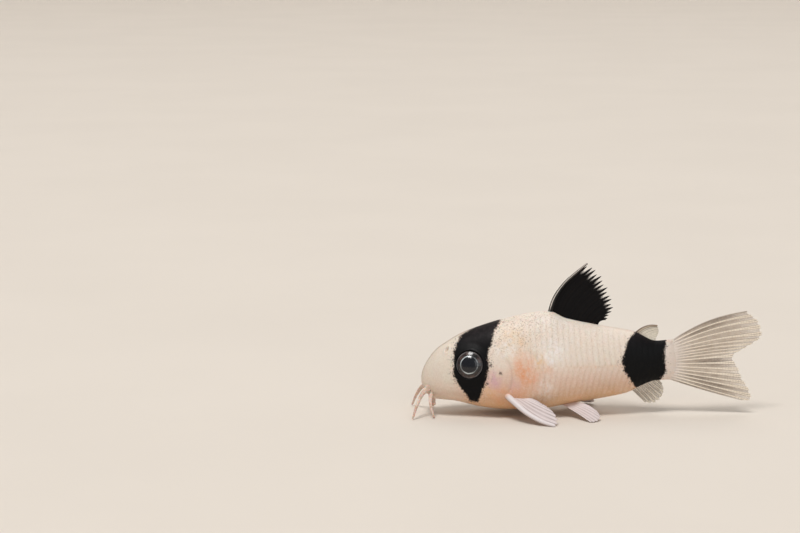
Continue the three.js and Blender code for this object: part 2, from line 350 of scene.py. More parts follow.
class Finish:
    """A node material under construction, with short calls for the nodes that the finishes share."""

    def __init__(self, name: str) -> None:
        """Starts a material with a plain surface shader.

        Args:
            name: The material's name.
        """
        self.material = bpy.data.materials.new(name)
        self.material.use_nodes = True
        self.tree = self.material.node_tree
        self.shader = self.tree.nodes["Principled BSDF"]

    def link(self, source: Socket | float | Tone, target: Socket) -> None:
        """Joins a socket or sets a value on a socket.

        Args:
            source: The socket or value.
            target: The socket that takes it.
        """
        if isinstance(source, bpy.types.NodeSocket):
            self.tree.links.new(source, target)
        else:
            target.default_value = source

    def set(self, **values: Socket | float | Tone) -> None:
        """Sets or joins sockets of the shader, named with underscores for spaces."""
        for name, value in values.items():
            self.link(value, self.shader.inputs[name.replace("_", " ")])

    def mask(self, name: str) -> Socket:
        """Reads one of the mesh's masks.

        Args:
            name: The mask's name.

        Returns:
            Its value.
        """
        node = self.tree.nodes.new("ShaderNodeAttribute")
        node.attribute_name = name
        return node.outputs["Fac"]

    def math(self, operation: str, a: Socket | float, b: Socket | float = 0.0) -> Socket:
        """Calculates with two values.

        Args:
            operation: Blender's name of it.
            a: The first value.
            b: The second value.

        Returns:
            The result.
        """
        node = self.tree.nodes.new("ShaderNodeMath")
        node.operation = operation
        self.link(a, node.inputs[0])
        self.link(b, node.inputs[1])
        return node.outputs[0]

    def times(self, *values: Socket | float) -> Socket:
        """Multiplies several values.

        Args:
            values: The values.

        Returns:
            Their product.
        """
        product = values[0]
        for value in values[1:]:
            product = self.math("MULTIPLY", product, value)
        return product

    def wander(self, value: Socket, amount: float, middle: float = 0.5) -> Socket:
        """Makes a value swing about 0 by an amount, from one that swings about a middle."""
        return self.times(self.math("SUBTRACT", value, middle), amount)

    def step(self, value: Socket | float, low: float, high: float,
             to_low: float = 0.0, to_high: float = 1.0) -> Socket:
        """Eases a value from one range to another.

        Args:
            value: The value.
            low: Where the change starts.
            high: Where it ends.
            to_low: The result at low.
            to_high: The result at high.

        Returns:
            The eased value.
        """
        node = self.tree.nodes.new("ShaderNodeMapRange")
        node.interpolation_type = "SMOOTHSTEP"
        for part, target in zip((value, low, high, to_low, to_high), node.inputs):
            self.link(part, target)
        return node.outputs[0]

    def place(self, scale: Sequence[float] = (1, 1, 1)) -> Socket:
        """Finds the point on the model in millimetres.

        Args:
            scale: Stretch along each axis.

        Returns:
            The point.
        """
        spot = self.tree.nodes.new("ShaderNodeTexCoord")
        node = self.tree.nodes.new("ShaderNodeMapping")
        node.inputs["Scale"].default_value = [s / MM for s in scale]
        self.link(spot.outputs["Object"], node.inputs["Vector"])
        return node.outputs["Vector"]

    def noise(self, scale: float, detail: float = 3, stretch: Sequence[float] = (1, 1, 1),
              rough: float = 0.5) -> Socket:
        """Makes cloudy noise.

        Args:
            scale: Features to the millimetre.
            detail: Finer layers.
            stretch: Scale along each axis.
            rough: Strength of the finer layers.

        Returns:
            The noise, about 0.5.
        """
        node = self.tree.nodes.new("ShaderNodeTexNoise")
        self.link(self.place(stretch), node.inputs["Vector"])
        node.inputs["Scale"].default_value = scale
        node.inputs["Detail"].default_value = detail
        node.inputs["Roughness"].default_value = rough
        return node.outputs["Fac"]

    def cells(self, scale: float, stretch: Sequence[float] = (1, 1, 1)) -> Socket:
        """Scatters points and measures the distance to the nearest.

        Args:
            scale: Points to the millimetre.
            stretch: Scale along each axis.

        Returns:
            The distance, in cells.
        """
        node = self.tree.nodes.new("ShaderNodeTexVoronoi")
        self.link(self.place(stretch), node.inputs["Vector"])
        node.inputs["Scale"].default_value = scale
        return node.outputs["Distance"]

    def blend(self, share: Socket | float, low: Socket | Tone, high: Socket | Tone) -> Socket:
        """Blends two colours.

        Args:
            share: How much of the second colour.
            low: The first colour.
            high: The second colour.

        Returns:
            The colour.
        """
        node = self.tree.nodes.new("ShaderNodeMix")
        node.data_type = "RGBA"
        self.link(share, node.inputs[0])
        self.link(low, node.inputs[6])
        self.link(high, node.inputs[7])
        return node.outputs[2]

    def lay(self, base: Socket | Tone,
            layers: Sequence[tuple[Socket | float, Socket | Tone]]) -> Socket:
        """Lays colours over a base, one after the other.

        Args:
            base: The colour below.
            layers: For each layer, how much of it shows, and its colour.

        Returns:
            The colour.
        """
        colour = base
        for share, tone in layers:
            colour = self.blend(share, colour, tone)
        return colour

    def relief(self, height: Socket, strength: float, depth: float) -> None:
        """Gives the surface a fine relief.

        Args:
            height: The relief, 0 to 1.
            strength: How strongly it shows.
            depth: Its real depth in millimetres.
        """
        node = self.tree.nodes.new("ShaderNodeBump")
        node.inputs["Strength"].default_value = strength
        node.inputs["Distance"].default_value = depth * MM
        self.link(height, node.inputs["Height"])
        self.link(node.outputs["Normal"], self.shader.inputs["Normal"])


@dataclass(frozen=True)
class SkinFinish:
    """Moist skin over bony plates: cream above, orange-pink below, with a black eye band and blotch."""

    cream: Tone = tint(232, 218, 203)
    pink: Tone = tint(224, 193, 172)
    belly: Tone = tint(220, 174, 128)
    snout: Tone = tint(226, 214, 198)
    gill: Tone = tint(230, 146, 88)
    gold: Tone = tint(232, 184, 118)
    # Pale tone, laid on as painted highlight patches and also as pale grain, dots and plate faces.
    pale_and_highlight: Tone = tint(246, 240, 236)
    violet: Tone = tint(210, 160, 180)
    root: Tone = tint(231, 218, 207)
    # Brown line tone for plate edges, grain, freckles and outlines, and for the painted shade in
    # creases.
    line: Tone = tint(148, 116, 92)
    brown: Tone = tint(58, 36, 28)
    black: Tone = tint(8, 8, 9)
    # Black lightened towards the top of the body, painted light from above.
    crown: Tone = tint(38, 31, 33)
    plate_edge: float = 0.26
    plate_face: float = 0.3
    # Strength of the painted shade in the creases of the gill cover, head and mouth.
    groove_shade: float = 0.22
    midline: float = 0.3
    meal_dark: float = 0.16
    meal_pale: float = 0.3
    freckle: float = 0.6
    dot: float = 0.8
    pale_dot: float = 0.45
    spot: float = 0.75
    dust: float = 0.75
    fringe: float = 0.85
    dust_reach: float = 1.2
    flesh_depth: float = 0.8
    flesh_weight: float = 0.22
    flesh_spread: tuple[float, float, float] = (1.0, 0.42, 0.26)
    shine: float = 0.4
    black_shine: float = 0.16
    black_roughness: float = 0.06

    def patches(self, f: Finish) -> Socket:
        """Lays the broad patches of colour over each other, painted highlights among them.

        Args:
            f: The material.

        Returns:
            The colour.
        """
        colour = f.blend(f.mask("low_flank"), self.cream, self.pink)
        # The pale patches, laid after the gold, are painted highlights.
        layers = (("belly", self.belly, 0.5, 0.8), ("snout", self.snout, 0.6, 0.75),
                  ("gill", self.gill, 0.7, 0.35), ("gold", self.gold, 1.3, 0.1),
                  ("pale_and_highlight", self.pale_and_highlight, 1.5, 0.15), ("violet", self.violet, 1.0, 0.1),
                  ("root", self.root, 1.2, 0.7))
        for name, tone, grain, least in layers:
            cloud = f.step(f.noise(grain, 4, rough=0.6), 0.34, 0.68, to_low=least)
            colour = f.blend(f.times(f.mask(name), cloud), colour, tone)
        return colour

    def speckles(self, f: Finish, colour: Socket) -> Socket:
        """Lays plate edges, mealy grain, freckles, dots and spots over the patches.

        Args:
            f: The material.
            colour: The colour so far.

        Returns:
            The colour.
        """
        freckled, outline = f.mask("freckles"), f.mask("outline")
        streak = f.step(f.noise(3.4, 5, stretch=(1, 1, 0.5), rough=0.75), 0.42, 0.6, to_low=0.05)
        mealy = f.noise(4.2, 5, rough=0.75)
        freckle = f.step(f.noise(4.6, 3, rough=0.6), 0.54, 0.66)
        dots = f.times(f.step(f.cells(4.4), 0.26, 0.14), f.step(f.noise(1.3, 2), 0.46, 0.58))
        pale_dots = f.step(f.cells(3.6, stretch=(1.1, 1, 0.9)), 0.3, 0.14)
        spots = f.math("ADD", f.mask("spots"), f.times(f.noise(3.2, 5, rough=0.75), 2.2))
        return f.lay(colour, (
            (f.times(f.mask("plate_edge"), streak, self.plate_edge), self.line),
            (f.times(f.mask("plate_face"), streak, self.plate_face), self.pale_and_highlight),
            # Painted shade in the creases of the gill cover, head and mouth.
            (f.times(f.mask("groove_shade"), self.groove_shade), self.line),
            (f.times(f.mask("midline"), streak, self.midline), self.belly),
            (f.step(mealy, 0.5, 0.7, to_high=self.meal_dark), self.line),
            (f.step(mealy, 0.48, 0.3, to_high=self.meal_pale), self.pale_and_highlight),
            (f.times(freckle, freckled, self.freckle), self.line),
            (f.times(dots, freckled, self.dot), self.brown),
            (f.times(pale_dots, freckled, self.pale_dot), self.pale_and_highlight),
            (f.times(f.step(spots, 1.5, 1.95), self.spot), self.brown),
            (f.times(outline, f.step(mealy, 0.35, 0.65, to_low=0.3, to_high=0.75)), self.line),
        ))

    def ragged_edge(self, f: Finish) -> Socket:
        """Breaks up the edge of the black markings.

        Args:
            f: The material.

        Returns:
            How far inside the ragged edge a place lies, in millimetres.
        """
        ragged = f.wander(f.noise(3.0, 5, rough=0.7), 1.2)
        grains = f.wander(f.cells(6.5), -0.45, middle=0.4)
        return f.math("ADD", f.math("ADD", ragged, grains), f.mask("black"))

    def blacken(self, f: Finish, colour: Socket, edge: Socket, inside: Socket) -> Socket:
        """Lays the dust round the black markings, their brown fringe, and the black with painted light
        on top.

        Args:
            f: The material.
            colour: The colour so far.
            edge: How far inside the ragged edge a place lies.
            inside: Share of black.

        Returns:
            The colour.
        """
        near_black = f.step(f.mask("black"), -self.dust_reach, -0.15)
        dust = f.times(f.step(f.cells(3.3), 0.34, 0.24), near_black,
                       f.step(f.noise(1.3, 2), 0.4, 0.55))
        # Painted light from above: the black turns lighter and browner with height.
        crown = f.step(f.noise(1.8, 4, rough=0.6), 0.35, 0.7, to_low=0.4)
        dark = f.blend(f.times(f.mask("crown"), crown), self.black, self.crown)
        return f.lay(colour, (
            (f.times(dust, self.dust), self.brown),
            (f.times(f.step(edge, -0.2, 0.05), self.fringe), self.brown),
            (inside, dark),
        ))

    def material(self) -> bpy.types.Material:
        """Builds the skin's node material.

        Returns:
            The material.
        """
        f = Finish("moist_skin")
        edge = self.ragged_edge(f)
        inside = f.step(edge, -0.02, 0.12)
        roughness = f.step(f.noise(3.4, 3), 0.3, 0.7, to_low=0.42, to_high=0.56)
        f.set(Base_Color=self.blacken(f, self.speckles(f, self.patches(f)), edge, inside))
        f.set(Roughness=f.math("ADD", roughness, f.times(inside, self.black_roughness)))
        f.set(Subsurface_Weight=f.step(inside, 0, 1, to_low=self.flesh_weight, to_high=0.0))
        f.set(Subsurface_Scale=self.flesh_depth * MM, Coat_Weight=0.05, Coat_Roughness=0.3, IOR=1.38)
        shine = f.step(inside, 0, 1, to_low=self.shine, to_high=self.black_shine)
        f.set(Specular_IOR_Level=shine)
        f.set(Subsurface_Radius=self.flesh_spread)
        grain = f.math("ADD", f.times(f.noise(5.5, 3), 0.6), f.times(f.cells(5.0), 0.4))
        f.relief(grain, strength=0.3, depth=0.04)
        return f.material


@dataclass(frozen=True)
class FinFinish:
    """Fin membrane between segmented rays, from clear and whitish to black."""

    name: str
    membrane: Tone
    ray: Tone
    edge: Tone
    root: Tone
    membrane_alpha: float = 0.45
    edge_alpha: float = 0.2
    ray_alpha: float = 0.95
    flank_alpha: float = 0.8
    dark_density: float = 0.4
    clear_from: float = 0.75
    roughness: float = 0.42
    shine: float = 0.35
    joints: float = 0.35
    joint_pitch: float = 0.2
    joint_width: float = 0.05
    gap: float = 0.5
    border: float = 0.6
    root_end: float = 0.2
    ray_flank: Range = (0.08, 0.35)
    ray_core: Range = (0.42, 0.8)

    def material(self) -> bpy.types.Material:
        """Builds the fin's node material.

        Returns:
            The material.
        """
        f = Finish(self.name)
        share, shade = f.mask("share"), f.mask("shade")
        flank, core = f.step(f.mask("ray"), *self.ray_flank), f.step(f.mask("ray"), *self.ray_core)
        fine = f.noise(4.0, 3, rough=0.6)
        strand = f.step(f.mask("strand"), 0.45, 0.9)
        beside_ray = f.times(flank, f.math("SUBTRACT", 1.0, core), f.step(fine, 0.35, 0.6, to_low=0.2))
        from_joint = f.math("PINGPONG", f.mask("along"), self.joint_pitch)
        joint = f.step(from_joint, 0.0, self.joint_width, to_low=1.0, to_high=0.0)
        joint = f.times(joint, f.step(share, 0.3, 0.5), core)
        near = f.math("ADD", f.mask("clear_of_root"), f.wander(f.noise(1.6, 3), 0.16))
        near = f.step(near, self.root_end - 0.2, self.root_end + 0.06, to_low=1.0, to_high=0.0)
        f.set(Base_Color=f.lay(self.membrane, (
            (f.step(f.noise(1.2, 3), 0.3, 0.7, to_high=0.35), self.ray),
            (f.times(strand, self.gap, f.step(fine, 0.3, 0.65, to_low=0.4)), self.edge),
            (f.times(shade, f.step(fine, 0.3, 0.65, to_low=0.6)), self.edge),
            (f.times(beside_ray, self.gap), self.edge),
            (f.times(core, f.step(fine, 0.25, 0.6, to_low=0.7)), self.ray),
            (f.times(joint, self.joints), self.edge),
            (f.times(f.mask("border"), self.border), self.edge),
            (near, self.root),
        )))
        clear = f.step(share, self.clear_from, 1.0, to_low=self.membrane_alpha, to_high=self.edge_alpha)
        dark = f.math("ADD", shade, f.times(strand, 0.5))
        clear = f.math("ADD", clear, f.times(dark, self.dark_density * self.membrane_alpha))
        solid = f.times(f.math("MAXIMUM", f.times(flank, self.flank_alpha), core), self.ray_alpha)
        f.set(Alpha=f.math("MAXIMUM", f.math("MAXIMUM", clear, solid), near))
        roughness = f.step(fine, 0.3, 0.7, to_low=self.roughness - 0.05, to_high=self.roughness + 0.08)
        f.set(Roughness=roughness, IOR=1.38, Specular_IOR_Level=self.shine)
        grain = f.math("SUBTRACT", f.times(f.noise(6.0, 2), 0.5), f.times(joint, 0.5))
        f.relief(grain, strength=0.2, depth=0.03)
        return f.material


@dataclass(frozen=True)
class SpineFinish:
    """Smooth bony spine with a front line, a painted highlight where paler, and skin round its root."""

    name: str
    front: Tone
    shaft: Tone
    tip: Tone
    root: Tone
    line_start: Range = (0.16, 0.32)
    line_end: float = 1.5
    line_softness: float = 0.15
    root_range: Range = (0.03, 0.18)

    def material(self) -> bpy.types.Material:
        """Builds the spine's node material.

        Returns:
            The material.
        """
        f = Finish(self.name)
        streak = f.noise(3.0, 3, stretch=(0.4, 1, 0.4))
        wander = f.wander(streak, 0.5)
        shaft = f.blend(f.step(f.math("ADD", f.mask("share"), wander), 0.4, 1.0), self.shaft, self.tip)
        front = f.mask("front")
        before_end = f.step(front, self.line_end, self.line_end + self.line_softness,
                            to_low=1.0, to_high=0.0)
        # A line on the side that faces forward and up, a painted highlight where it is paler than the
        # shaft.
        outline_and_highlight = f.step(f.math("ADD", front, f.times(wander, 0.3)), *self.line_start)
        outline_and_highlight = f.times(outline_and_highlight, before_end)
        near = f.step(f.mask("share"), *self.root_range, to_low=1.0, to_high=0.0)
        f.set(Base_Color=f.lay(shaft, ((outline_and_highlight, self.front), (near, self.root))))
        f.set(Roughness=f.step(streak, 0.3, 0.7, to_low=0.36, to_high=0.5))
        f.set(IOR=1.4, Specular_IOR_Level=0.4)
        f.set(Coat_Weight=0.1, Coat_Roughness=0.25)
        f.relief(streak, strength=0.3, depth=0.04)
        return f.material


@dataclass(frozen=True)
class EyeFinish:
    """Wet eye: blue-black pupil, thin silver ring, black iris with brown streaks, painted grey rim
    highlight.
    """

    pupil: Tone = tint(5, 8, 17)
    silver: Tone = tint(226, 234, 236)
    iris: Tone = tint(15, 13, 14)
    streak: Tone = tint(84, 62, 55)
    # Grey of the painted highlight on the eye's rim.
    rim: Tone = tint(122, 118, 118)
    ring: float = 1.25
    ring_width: float = 0.1
    streak_range: Range = (1.3, 1.5)
    edge: float = 1.84

    def material(self) -> bpy.types.Material:
        """Builds the eye's node material.

        Returns:
            The material.
        """
        f = Finish("wet_eye")
        r = f.math("ADD", f.mask("from_axis"), f.wander(f.noise(1.6, 3), 0.1))
        ripple = f.noise(1.7, 4, rough=0.6)
        glint = f.mask("glint")
        # Brown streaks, random and also painted reflection where the glints are.
        streak_and_glint = f.math("ADD", f.step(ripple, 0.46, 0.64, to_high=0.6), f.times(glint, 0.3))
        # Painted highlight: a grey ring round the eye's rim.
        rim = f.times(f.step(r, self.edge - 0.1, self.edge),
                      f.step(r, self.edge + 0.06, self.edge + 0.14, to_low=1.0, to_high=0.0),
                      f.step(f.noise(0.8, 3), 0.35, 0.6, to_low=0.35, to_high=0.9))
        away = f.math("ABSOLUTE", f.math("SUBTRACT", r, self.ring))
        band = f.step(away, self.ring_width, self.ring_width * 0.5)
        shimmer = f.step(ripple, 0.35, 0.6, to_low=0.06, to_high=0.26)
        bright = f.times(band, f.math("ADD", f.times(glint, 0.65), shimmer))
        f.set(Base_Color=f.lay(self.iris, (
            (f.times(streak_and_glint, f.step(r, *self.streak_range)), self.streak),
            (rim, self.rim),
            (f.step(r, self.ring + 0.03, self.ring - 0.05), self.pupil),
            (bright, self.silver),
        )))
        f.set(Metallic=f.times(bright, 0.3))
        f.set(Roughness=f.step(ripple, 0.3, 0.7, to_low=0.2, to_high=0.34))
        f.set(Coat_Weight=0.6, Coat_Roughness=0.06, IOR=1.36)
        f.relief(ripple, strength=0.2, depth=0.04)
        return f.material


@dataclass(frozen=True)
class BarbelFinish:
    """Translucent fleshy feeler skin."""

    deep: Tone = tint(196, 168, 150)
    light: Tone = tint(220, 200, 186)
    flesh_depth: float = 0.8
    flesh_weight: float = 0.35

    def material(self) -> bpy.types.Material:
        """Builds the barbels' node material.

        Returns:
            The material.
        """
        f = Finish("barbel_skin")
        cloud = f.noise(1.8, 3)
        f.set(Base_Color=f.blend(f.step(cloud, 0.35, 0.65), self.deep, self.light))
        f.set(Roughness=f.step(cloud, 0.3, 0.7, to_low=0.4, to_high=0.52))
        f.set(IOR=1.38, Specular_IOR_Level=0.4)
        f.set(Subsurface_Weight=self.flesh_weight, Subsurface_Scale=self.flesh_depth * MM)
        f.relief(f.noise(5.0, 3), strength=0.4, depth=0.05)
        return f.material


@dataclass
class BodyForm:
    """The body's outline from the side, above and in section, shared by all that grows from it."""

    back: Points = ((0, 8.4), (2.7, 9.95), (5.6, 11.75), (8.6, 12.95), (12, 14), (15.5, 14.85),
                    (18.5, 15.15), (21, 14.1), (25.6, 13.15), (30.8, 12.2), (34.3, 10.75),
                    (FLESH_END, 11.1))
    belly: Points = ((0, 2.25), (4.2, 2.1), (8.5, 1.25), (12, 0.9), (17.3, 0.95), (20.5, 1.45),
                     (26, 2.3), (30, 3.1), (32, 4.1), (34.3, 4.9), (FLESH_END, 5.0))
    width: Points = ((0, 2.5), (3, 3.1), (6.9, 3.75), (11, 4.55), (14.5, 4.75), (18, 4.55), (24, 3.6),
                     (30, 2.4), (34, 1.45), (36, 0.78), (FLESH_END, 0.2))
    widest: Points = ((0, 4.9), (8, 5), (15, 5.2), (20, 5.8), (30, 7.3), (FLESH_END, 7.85))
    upper: Points = ((0, 2.1), (10, 2.1), (18.5, 1.8), (28, 1.95), (FLESH_END, 2.2))
    lower: Points = ((0, 2.2), (8, 2.7), (16, 3), (26, 2.5), (FLESH_END, 2.2))
    nose_height: float = 5.1
    nose_round: float = 3.0
    nose_blunt: float = 4.0
    tail_round: float = 0.4

    def place(self, s: Array, angle: Array) -> Array:
        """Places of the plain body surface.

        Args:
            s: Stations.
            angle: Angles round the body, 0 on the left side and a quarter turn on the back.

        Returns:
            Places as station, side and height.
        """
        top, bottom, half, widest = self.section(s)
        c, d = np.cos(angle), np.sin(angle)
        power = np.where(d >= 0, 2 / profile(self.upper)(s), 2 / profile(self.lower)(s))
        reach = np.where(d >= 0, top - widest, widest - bottom)
        y = -half * signed_power(c, power)
        z = widest + reach * signed_power(d, power)
        return np.stack([s, y, z], axis=-1)

    def section(self, s: Array) -> tuple[Array, Array, Array, Array]:
        """Sizes of the body's section.

        Args:
            s: Stations.

        Returns:
            The top's height, the bottom's height, the half width and the height of the widest place.
        """
        round_off = quarter_round(s, self.nose_round)
        nose = self.nose_height
        top = nose + (profile(self.back)(s) - nose) * round_off
        bottom = nose + (profile(self.belly)(s) - nose) * round_off
        widest = nose + (profile(self.widest)(s) - nose) * round_off
        tail = quarter_round(FLESH_END - s, self.tail_round)
        return top, bottom, profile(self.width)(s) * quarter_round(s, self.nose_blunt) * tail, widest

    def left_side(self, s: float, z: float) -> Array:
        """Finds a place on the left flank.

        Args:
            s: Its station.
            z: Its height.

        Returns:
            The place.
        """
        top, bottom, half, widest = (float(v) for v in self.section(np.array(s)))
        upper = z >= widest
        n = float(profile(self.upper if upper else self.lower)(np.array(s)))
        share = abs(z - widest) / ((top - widest) if upper else (widest - bottom))
        return np.array([s, -half * (1 - min(share, 1) ** n) ** (1 / n), z])


@dataclass
class Eye:
    """An eyeball that looks straight out of the skin round it, and the skin's relief there."""

    form: BodyForm
    station: float = 6.95
    height: float = 7.85
    opening: float = 2.0
    radius: float = 2.35
    depth: float = 1.33
    rise: float = 0.55
    lens: float = 0.07
    lens_edge: Range = (0.9, 1.35)
    glints: Points = ((2.3, 0.3), (-1.6, 0.16))
    hidden: float = 9.0
    swelling: float = 0.18
    swelling_reach: float = 1.3
    rim_height: float = 0.08
    rim_width: float = 0.12
    hollow: float = 0.8
    hollow_edge: float = 0.14
    rings: int = 120
    around: int = 128
    finish: EyeFinish = EyeFinish()

    def axes(self) -> tuple[Array, Array, Array, Array]:
        """Finds the left eye's place and directions from the skin round it.

        Returns:
            Its centre on the skin, and its directions backwards, upwards and outwards.
        """
        near = 0.6
        centre = self.form.left_side(self.station, self.height)
        back = self.form.left_side(self.station + near, self.height)
        back = back - self.form.left_side(self.station - near, self.height)
        up = self.form.left_side(self.station, self.height + near)
        up = up - self.form.left_side(self.station, self.height - near)
        out = np.cross(back, up)
        out /= np.linalg.norm(out)
        back /= np.linalg.norm(back)
        return centre, back, np.cross(out, back), out

    def distance(self, places: Array) -> Array:
        """How far places on either flank lie from the eye's axis.

        Args:
            places: The places.

        Returns:
            The distances.
        """
        centre, _, _, out = self.axes()
        gap = np.stack([places[..., 0], -np.abs(places[..., 1]), places[..., 2]], axis=-1) - centre
        along = (gap * out).sum(axis=-1, keepdims=True)
        return np.linalg.norm(gap - along * out, axis=-1)

    def relief(self, places: Array) -> Array:
        """Relief of the swelling and the rim round each eye, and of the hollow beneath the ball.

        Args:
            places: Places on the skin.

        Returns:
            The relief in millimetres.
        """
        away = self.distance(places)
        rim = self.opening
        raised = self.swelling * (1 - ease(away, rim, rim + self.swelling_reach))
        raised = raised + self.rim_height * bump(away, rim + self.rim_width, self.rim_width)
        return raised - self.hollow * (1 - ease(away, rim - self.hollow_edge, rim))

    def build(self) -> Pieces:
        """Makes both eyes.

        Returns:
            The eyeballs.
        """
        centre, back, up, out = self.axes()
        lean, turn = np.meshgrid(np.linspace(0, np.pi, self.rings),
                                 np.linspace(0, 2 * np.pi, self.around, endpoint=False), indexing="ij")
        away = self.radius * np.sin(lean)
        front = lean < np.pi / 2
        reach = self.depth * np.cos(lean) + self.lens * (1 - ease(away, *self.lens_edge)) * front
        reach = reach + self.rise - self.depth
        spread = np.cos(turn)[..., None] * back + np.sin(turn)[..., None] * up
        places = centre + away[..., None] * spread + reach[..., None] * out
        glint = sum(bump(np.cos(turn - angle), 1, softness) for angle, softness in self.glints)
        masks = {"from_axis": np.where(front, away, self.hidden), "glint": np.clip(glint, 0, 1)}
        masks = {name: values.ravel() for name, values in masks.items()}
        ball = Piece("eyeball", ("eye",), "eye")
        return ball.add(places.reshape(-1, 3), grid_faces(self.rings, self.around, wrap=True), masks,
                        self.finish.material(), BOTH)


@dataclass(frozen=True)
class Markings:
    """Edges of the black band and blotch, as stations at heights of the flank."""

    band_front: Points = ((2.4, 7.1), (3.5, 6.4), (5.2, 5.2), (6.6, 4.6), (9.5, 4.7), (11.5, 5.6),
                          (12.4, 7.0), (13.6, 9.6))
    band_rear: Points = ((2.4, 8.25), (3.5, 8.6), (5.9, 9.4), (7.7, 9.7), (9.2, 9.55), (11, 10.15),
                         (12.5, 10.5), (13.7, 11.4), (15, 12.2))
    blotch_front: Points = ((3.6, 31.5), (4.3, 31.0), (5.3, 30.4), (6.9, 29.4), (8.4, 29.1),
                            (10, 29.55), (11.4, 30.2), (12.3, 31.4))
    blotch_rear: Points = ((4.4, 34.6), (5.4, 35.1), (6.6, 35.6), (8.5, 35.4), (10, 35.55),
                           (11.2, 35.6))
    band_bottom: float = 2.3
    bottom_slope: float = 0.9

    def depth(self, s: Array, z: Array) -> Array:
        """How far inside the nearest black marking places lie.

        Args:
            s: Stations.
            z: Heights.

        Returns:
            The depth in millimetres, below 0 outside.
        """
        band = np.minimum(s - profile(self.band_front)(z), profile(self.band_rear)(z) - s)
        band = np.minimum(band, (z - self.band_bottom) * self.bottom_slope)
        blotch = np.minimum(s - profile(self.blotch_front)(z), profile(self.blotch_rear)(z) - s)
        return np.maximum(band, blotch)


@dataclass(frozen=True)
class Plates:
    """Two rows of overlapping bony plates on the flank, in relief.

    Each row leans back from the side line by its share of the way to the back or the belly, and by
    that share's square. A plate's edge and face lie at a share of its pitch, and have a softness.
    """

    pitch: float = 0.82
    start: float = 13.6
    end: float = 36.2
    height: float = 0.04
    slant: float = 1.1
    upper_lean: Pair = (0.9, -0.5)
    lower_lean: Pair = (1.3, -0.3)
    edge: Pair = (0.94, 0.1)
    face: Pair = (0.45, 0.22)
    lower_strength: float = 0.55
    waviness: float = 0.03
    mean_rise: float = 0.3
    seam_depth: float = 0.02
    seam_width: float = 0.12
    fade_in: float = 3
    fade_out: float = 1.5
    back_fade: Range = (0.86, 0.97)
    belly_fade: Range = (0.62, 0.86)
    belly_closed: Range = (24, 28)
    step_start: float = 0.85
    step_curve: float = 1.4
    side_line: Points = ((13, 7.4), (20, 7.6), (30, 7.5), (37, 7.7))

    def shown(self, s: Array, share: Array, above: Array) -> Array:
        """Where the plates show.

        Args:
            s: Stations.
            share: Share of the way from the side line to the back or the belly.
            above: Whether places lie above the side line.

        Returns:
            The relief's strength, 0 to 1.
        """
        first, last = (self.start - 0.2, self.start + self.fade_in), (self.end - self.fade_out, self.end)
        along = window(s, first, last)
        belly = 1 - ease(share, *self.belly_fade) * (1 - ease(s, *self.belly_closed))
        return along * np.where(above, 1 - ease(share, *self.back_fade), belly)

    def relief(self, s: Array, z: Array, top: Array, bottom: Array) -> tuple[Array, Array, Array]:
        """Relief, rear edges and faces of the plates.

        Args:
            s: Stations.
            z: Heights.
            top: The back's height at each station.
            bottom: The belly's height at each station.

        Returns:
            The relief in millimetres, a mask of the plates' rear edges and one of their faces.
        """
        line = profile(self.side_line)(s)
        above = z > line
        share = np.where(above, (z - line) / np.maximum(top - line, 0.1),
                         (line - z) / np.maximum(line - bottom, 0.1))
        lean = np.where(above, self.upper_lean[0] * share + self.upper_lean[1] * share**2,
                        self.lower_lean[0] * share + self.lower_lean[1] * share**2)
        wander = self.waviness * np.sin(1.7 * s + 1.9 * z)
        phase = (s + lean * self.slant + wander - self.start) / self.pitch
        phase = phase + np.where(above, 0.0, 0.5)
        cycle = phase - np.floor(phase)
        rise = cycle**self.step_curve * (1 - ease(cycle, self.step_start, 1.0))
        shown = self.shown(s, share, above)
        seam = bump(z - line, 0, self.seam_width) * shown
        relief = shown * self.height * (rise - self.mean_rise) - self.seam_depth * seam
        strong = np.where(above, 1.0, self.lower_strength)
        edges, faces = bump(cycle, *self.edge), bump(cycle, *self.face)
        return relief, edges * shown * strong, faces * shown * strong


@dataclass(frozen=True)
class GillCover:
    """The gill cover, the slit behind it and the shoulder, in relief.

    A slope, the slit and the start of the shoulder lie at a reach from the centre of their oval.
    """

    cover: Oval = Oval(10.9, 5.6, 2.0, 3.3, lean=0.12)
    shoulder: Oval = Oval(14.7, 5.2, 3.1, 4.8)
    cover_rise: float = 0.05
    cover_slope: Range = (0.6, 1.0)
    slit: Pair = (1.05, 0.09)
    slit_start: Range = (11, 12.8)
    slit_depth: float = 0.08
    slit_shade: float = 0.6
    shoulder_rise: float = 0.06
    shoulder_slope: Range = (0.8, 1.0)
    shoulder_start: Range = (1.0, 1.2)
    edge: Pair = (1.0, 0.04)
    edge_start: Range = (14.4, 16)
    edge_depth: float = 0.04
    edge_shade: float = 0.4

    def relief(self, s: Array, z: Array, side: Array) -> tuple[Array, Array]:
        """Relief of the cover and the shoulder, and painted shade in the slit and along the shoulder's
        edge.

        Args:
            s: Stations.
            z: Heights.
            side: Distances from the midline.

        Returns:
            The relief in millimetres and a mask of painted shade in the slit and along the shoulder's
            edge.
        """
        flank = on_flank(side)
        cover, shoulder = self.cover.reach(s, z), self.shoulder.reach(s, z)
        raised = self.cover_rise * (1 - ease(cover, *self.cover_slope)) * flank
        slit = bump(cover, *self.slit) * ease(s, *self.slit_start) * flank
        swell = self.shoulder_rise * (1 - ease(shoulder, *self.shoulder_slope)) * flank
        swell = swell * ease(cover, *self.shoulder_start)
        edge = bump(shoulder, *self.edge) * ease(s, *self.edge_start) * flank
        relief = raised - self.slit_depth * slit + swell - self.edge_depth * edge
        return relief, self.slit_shade * slit + self.edge_shade * edge


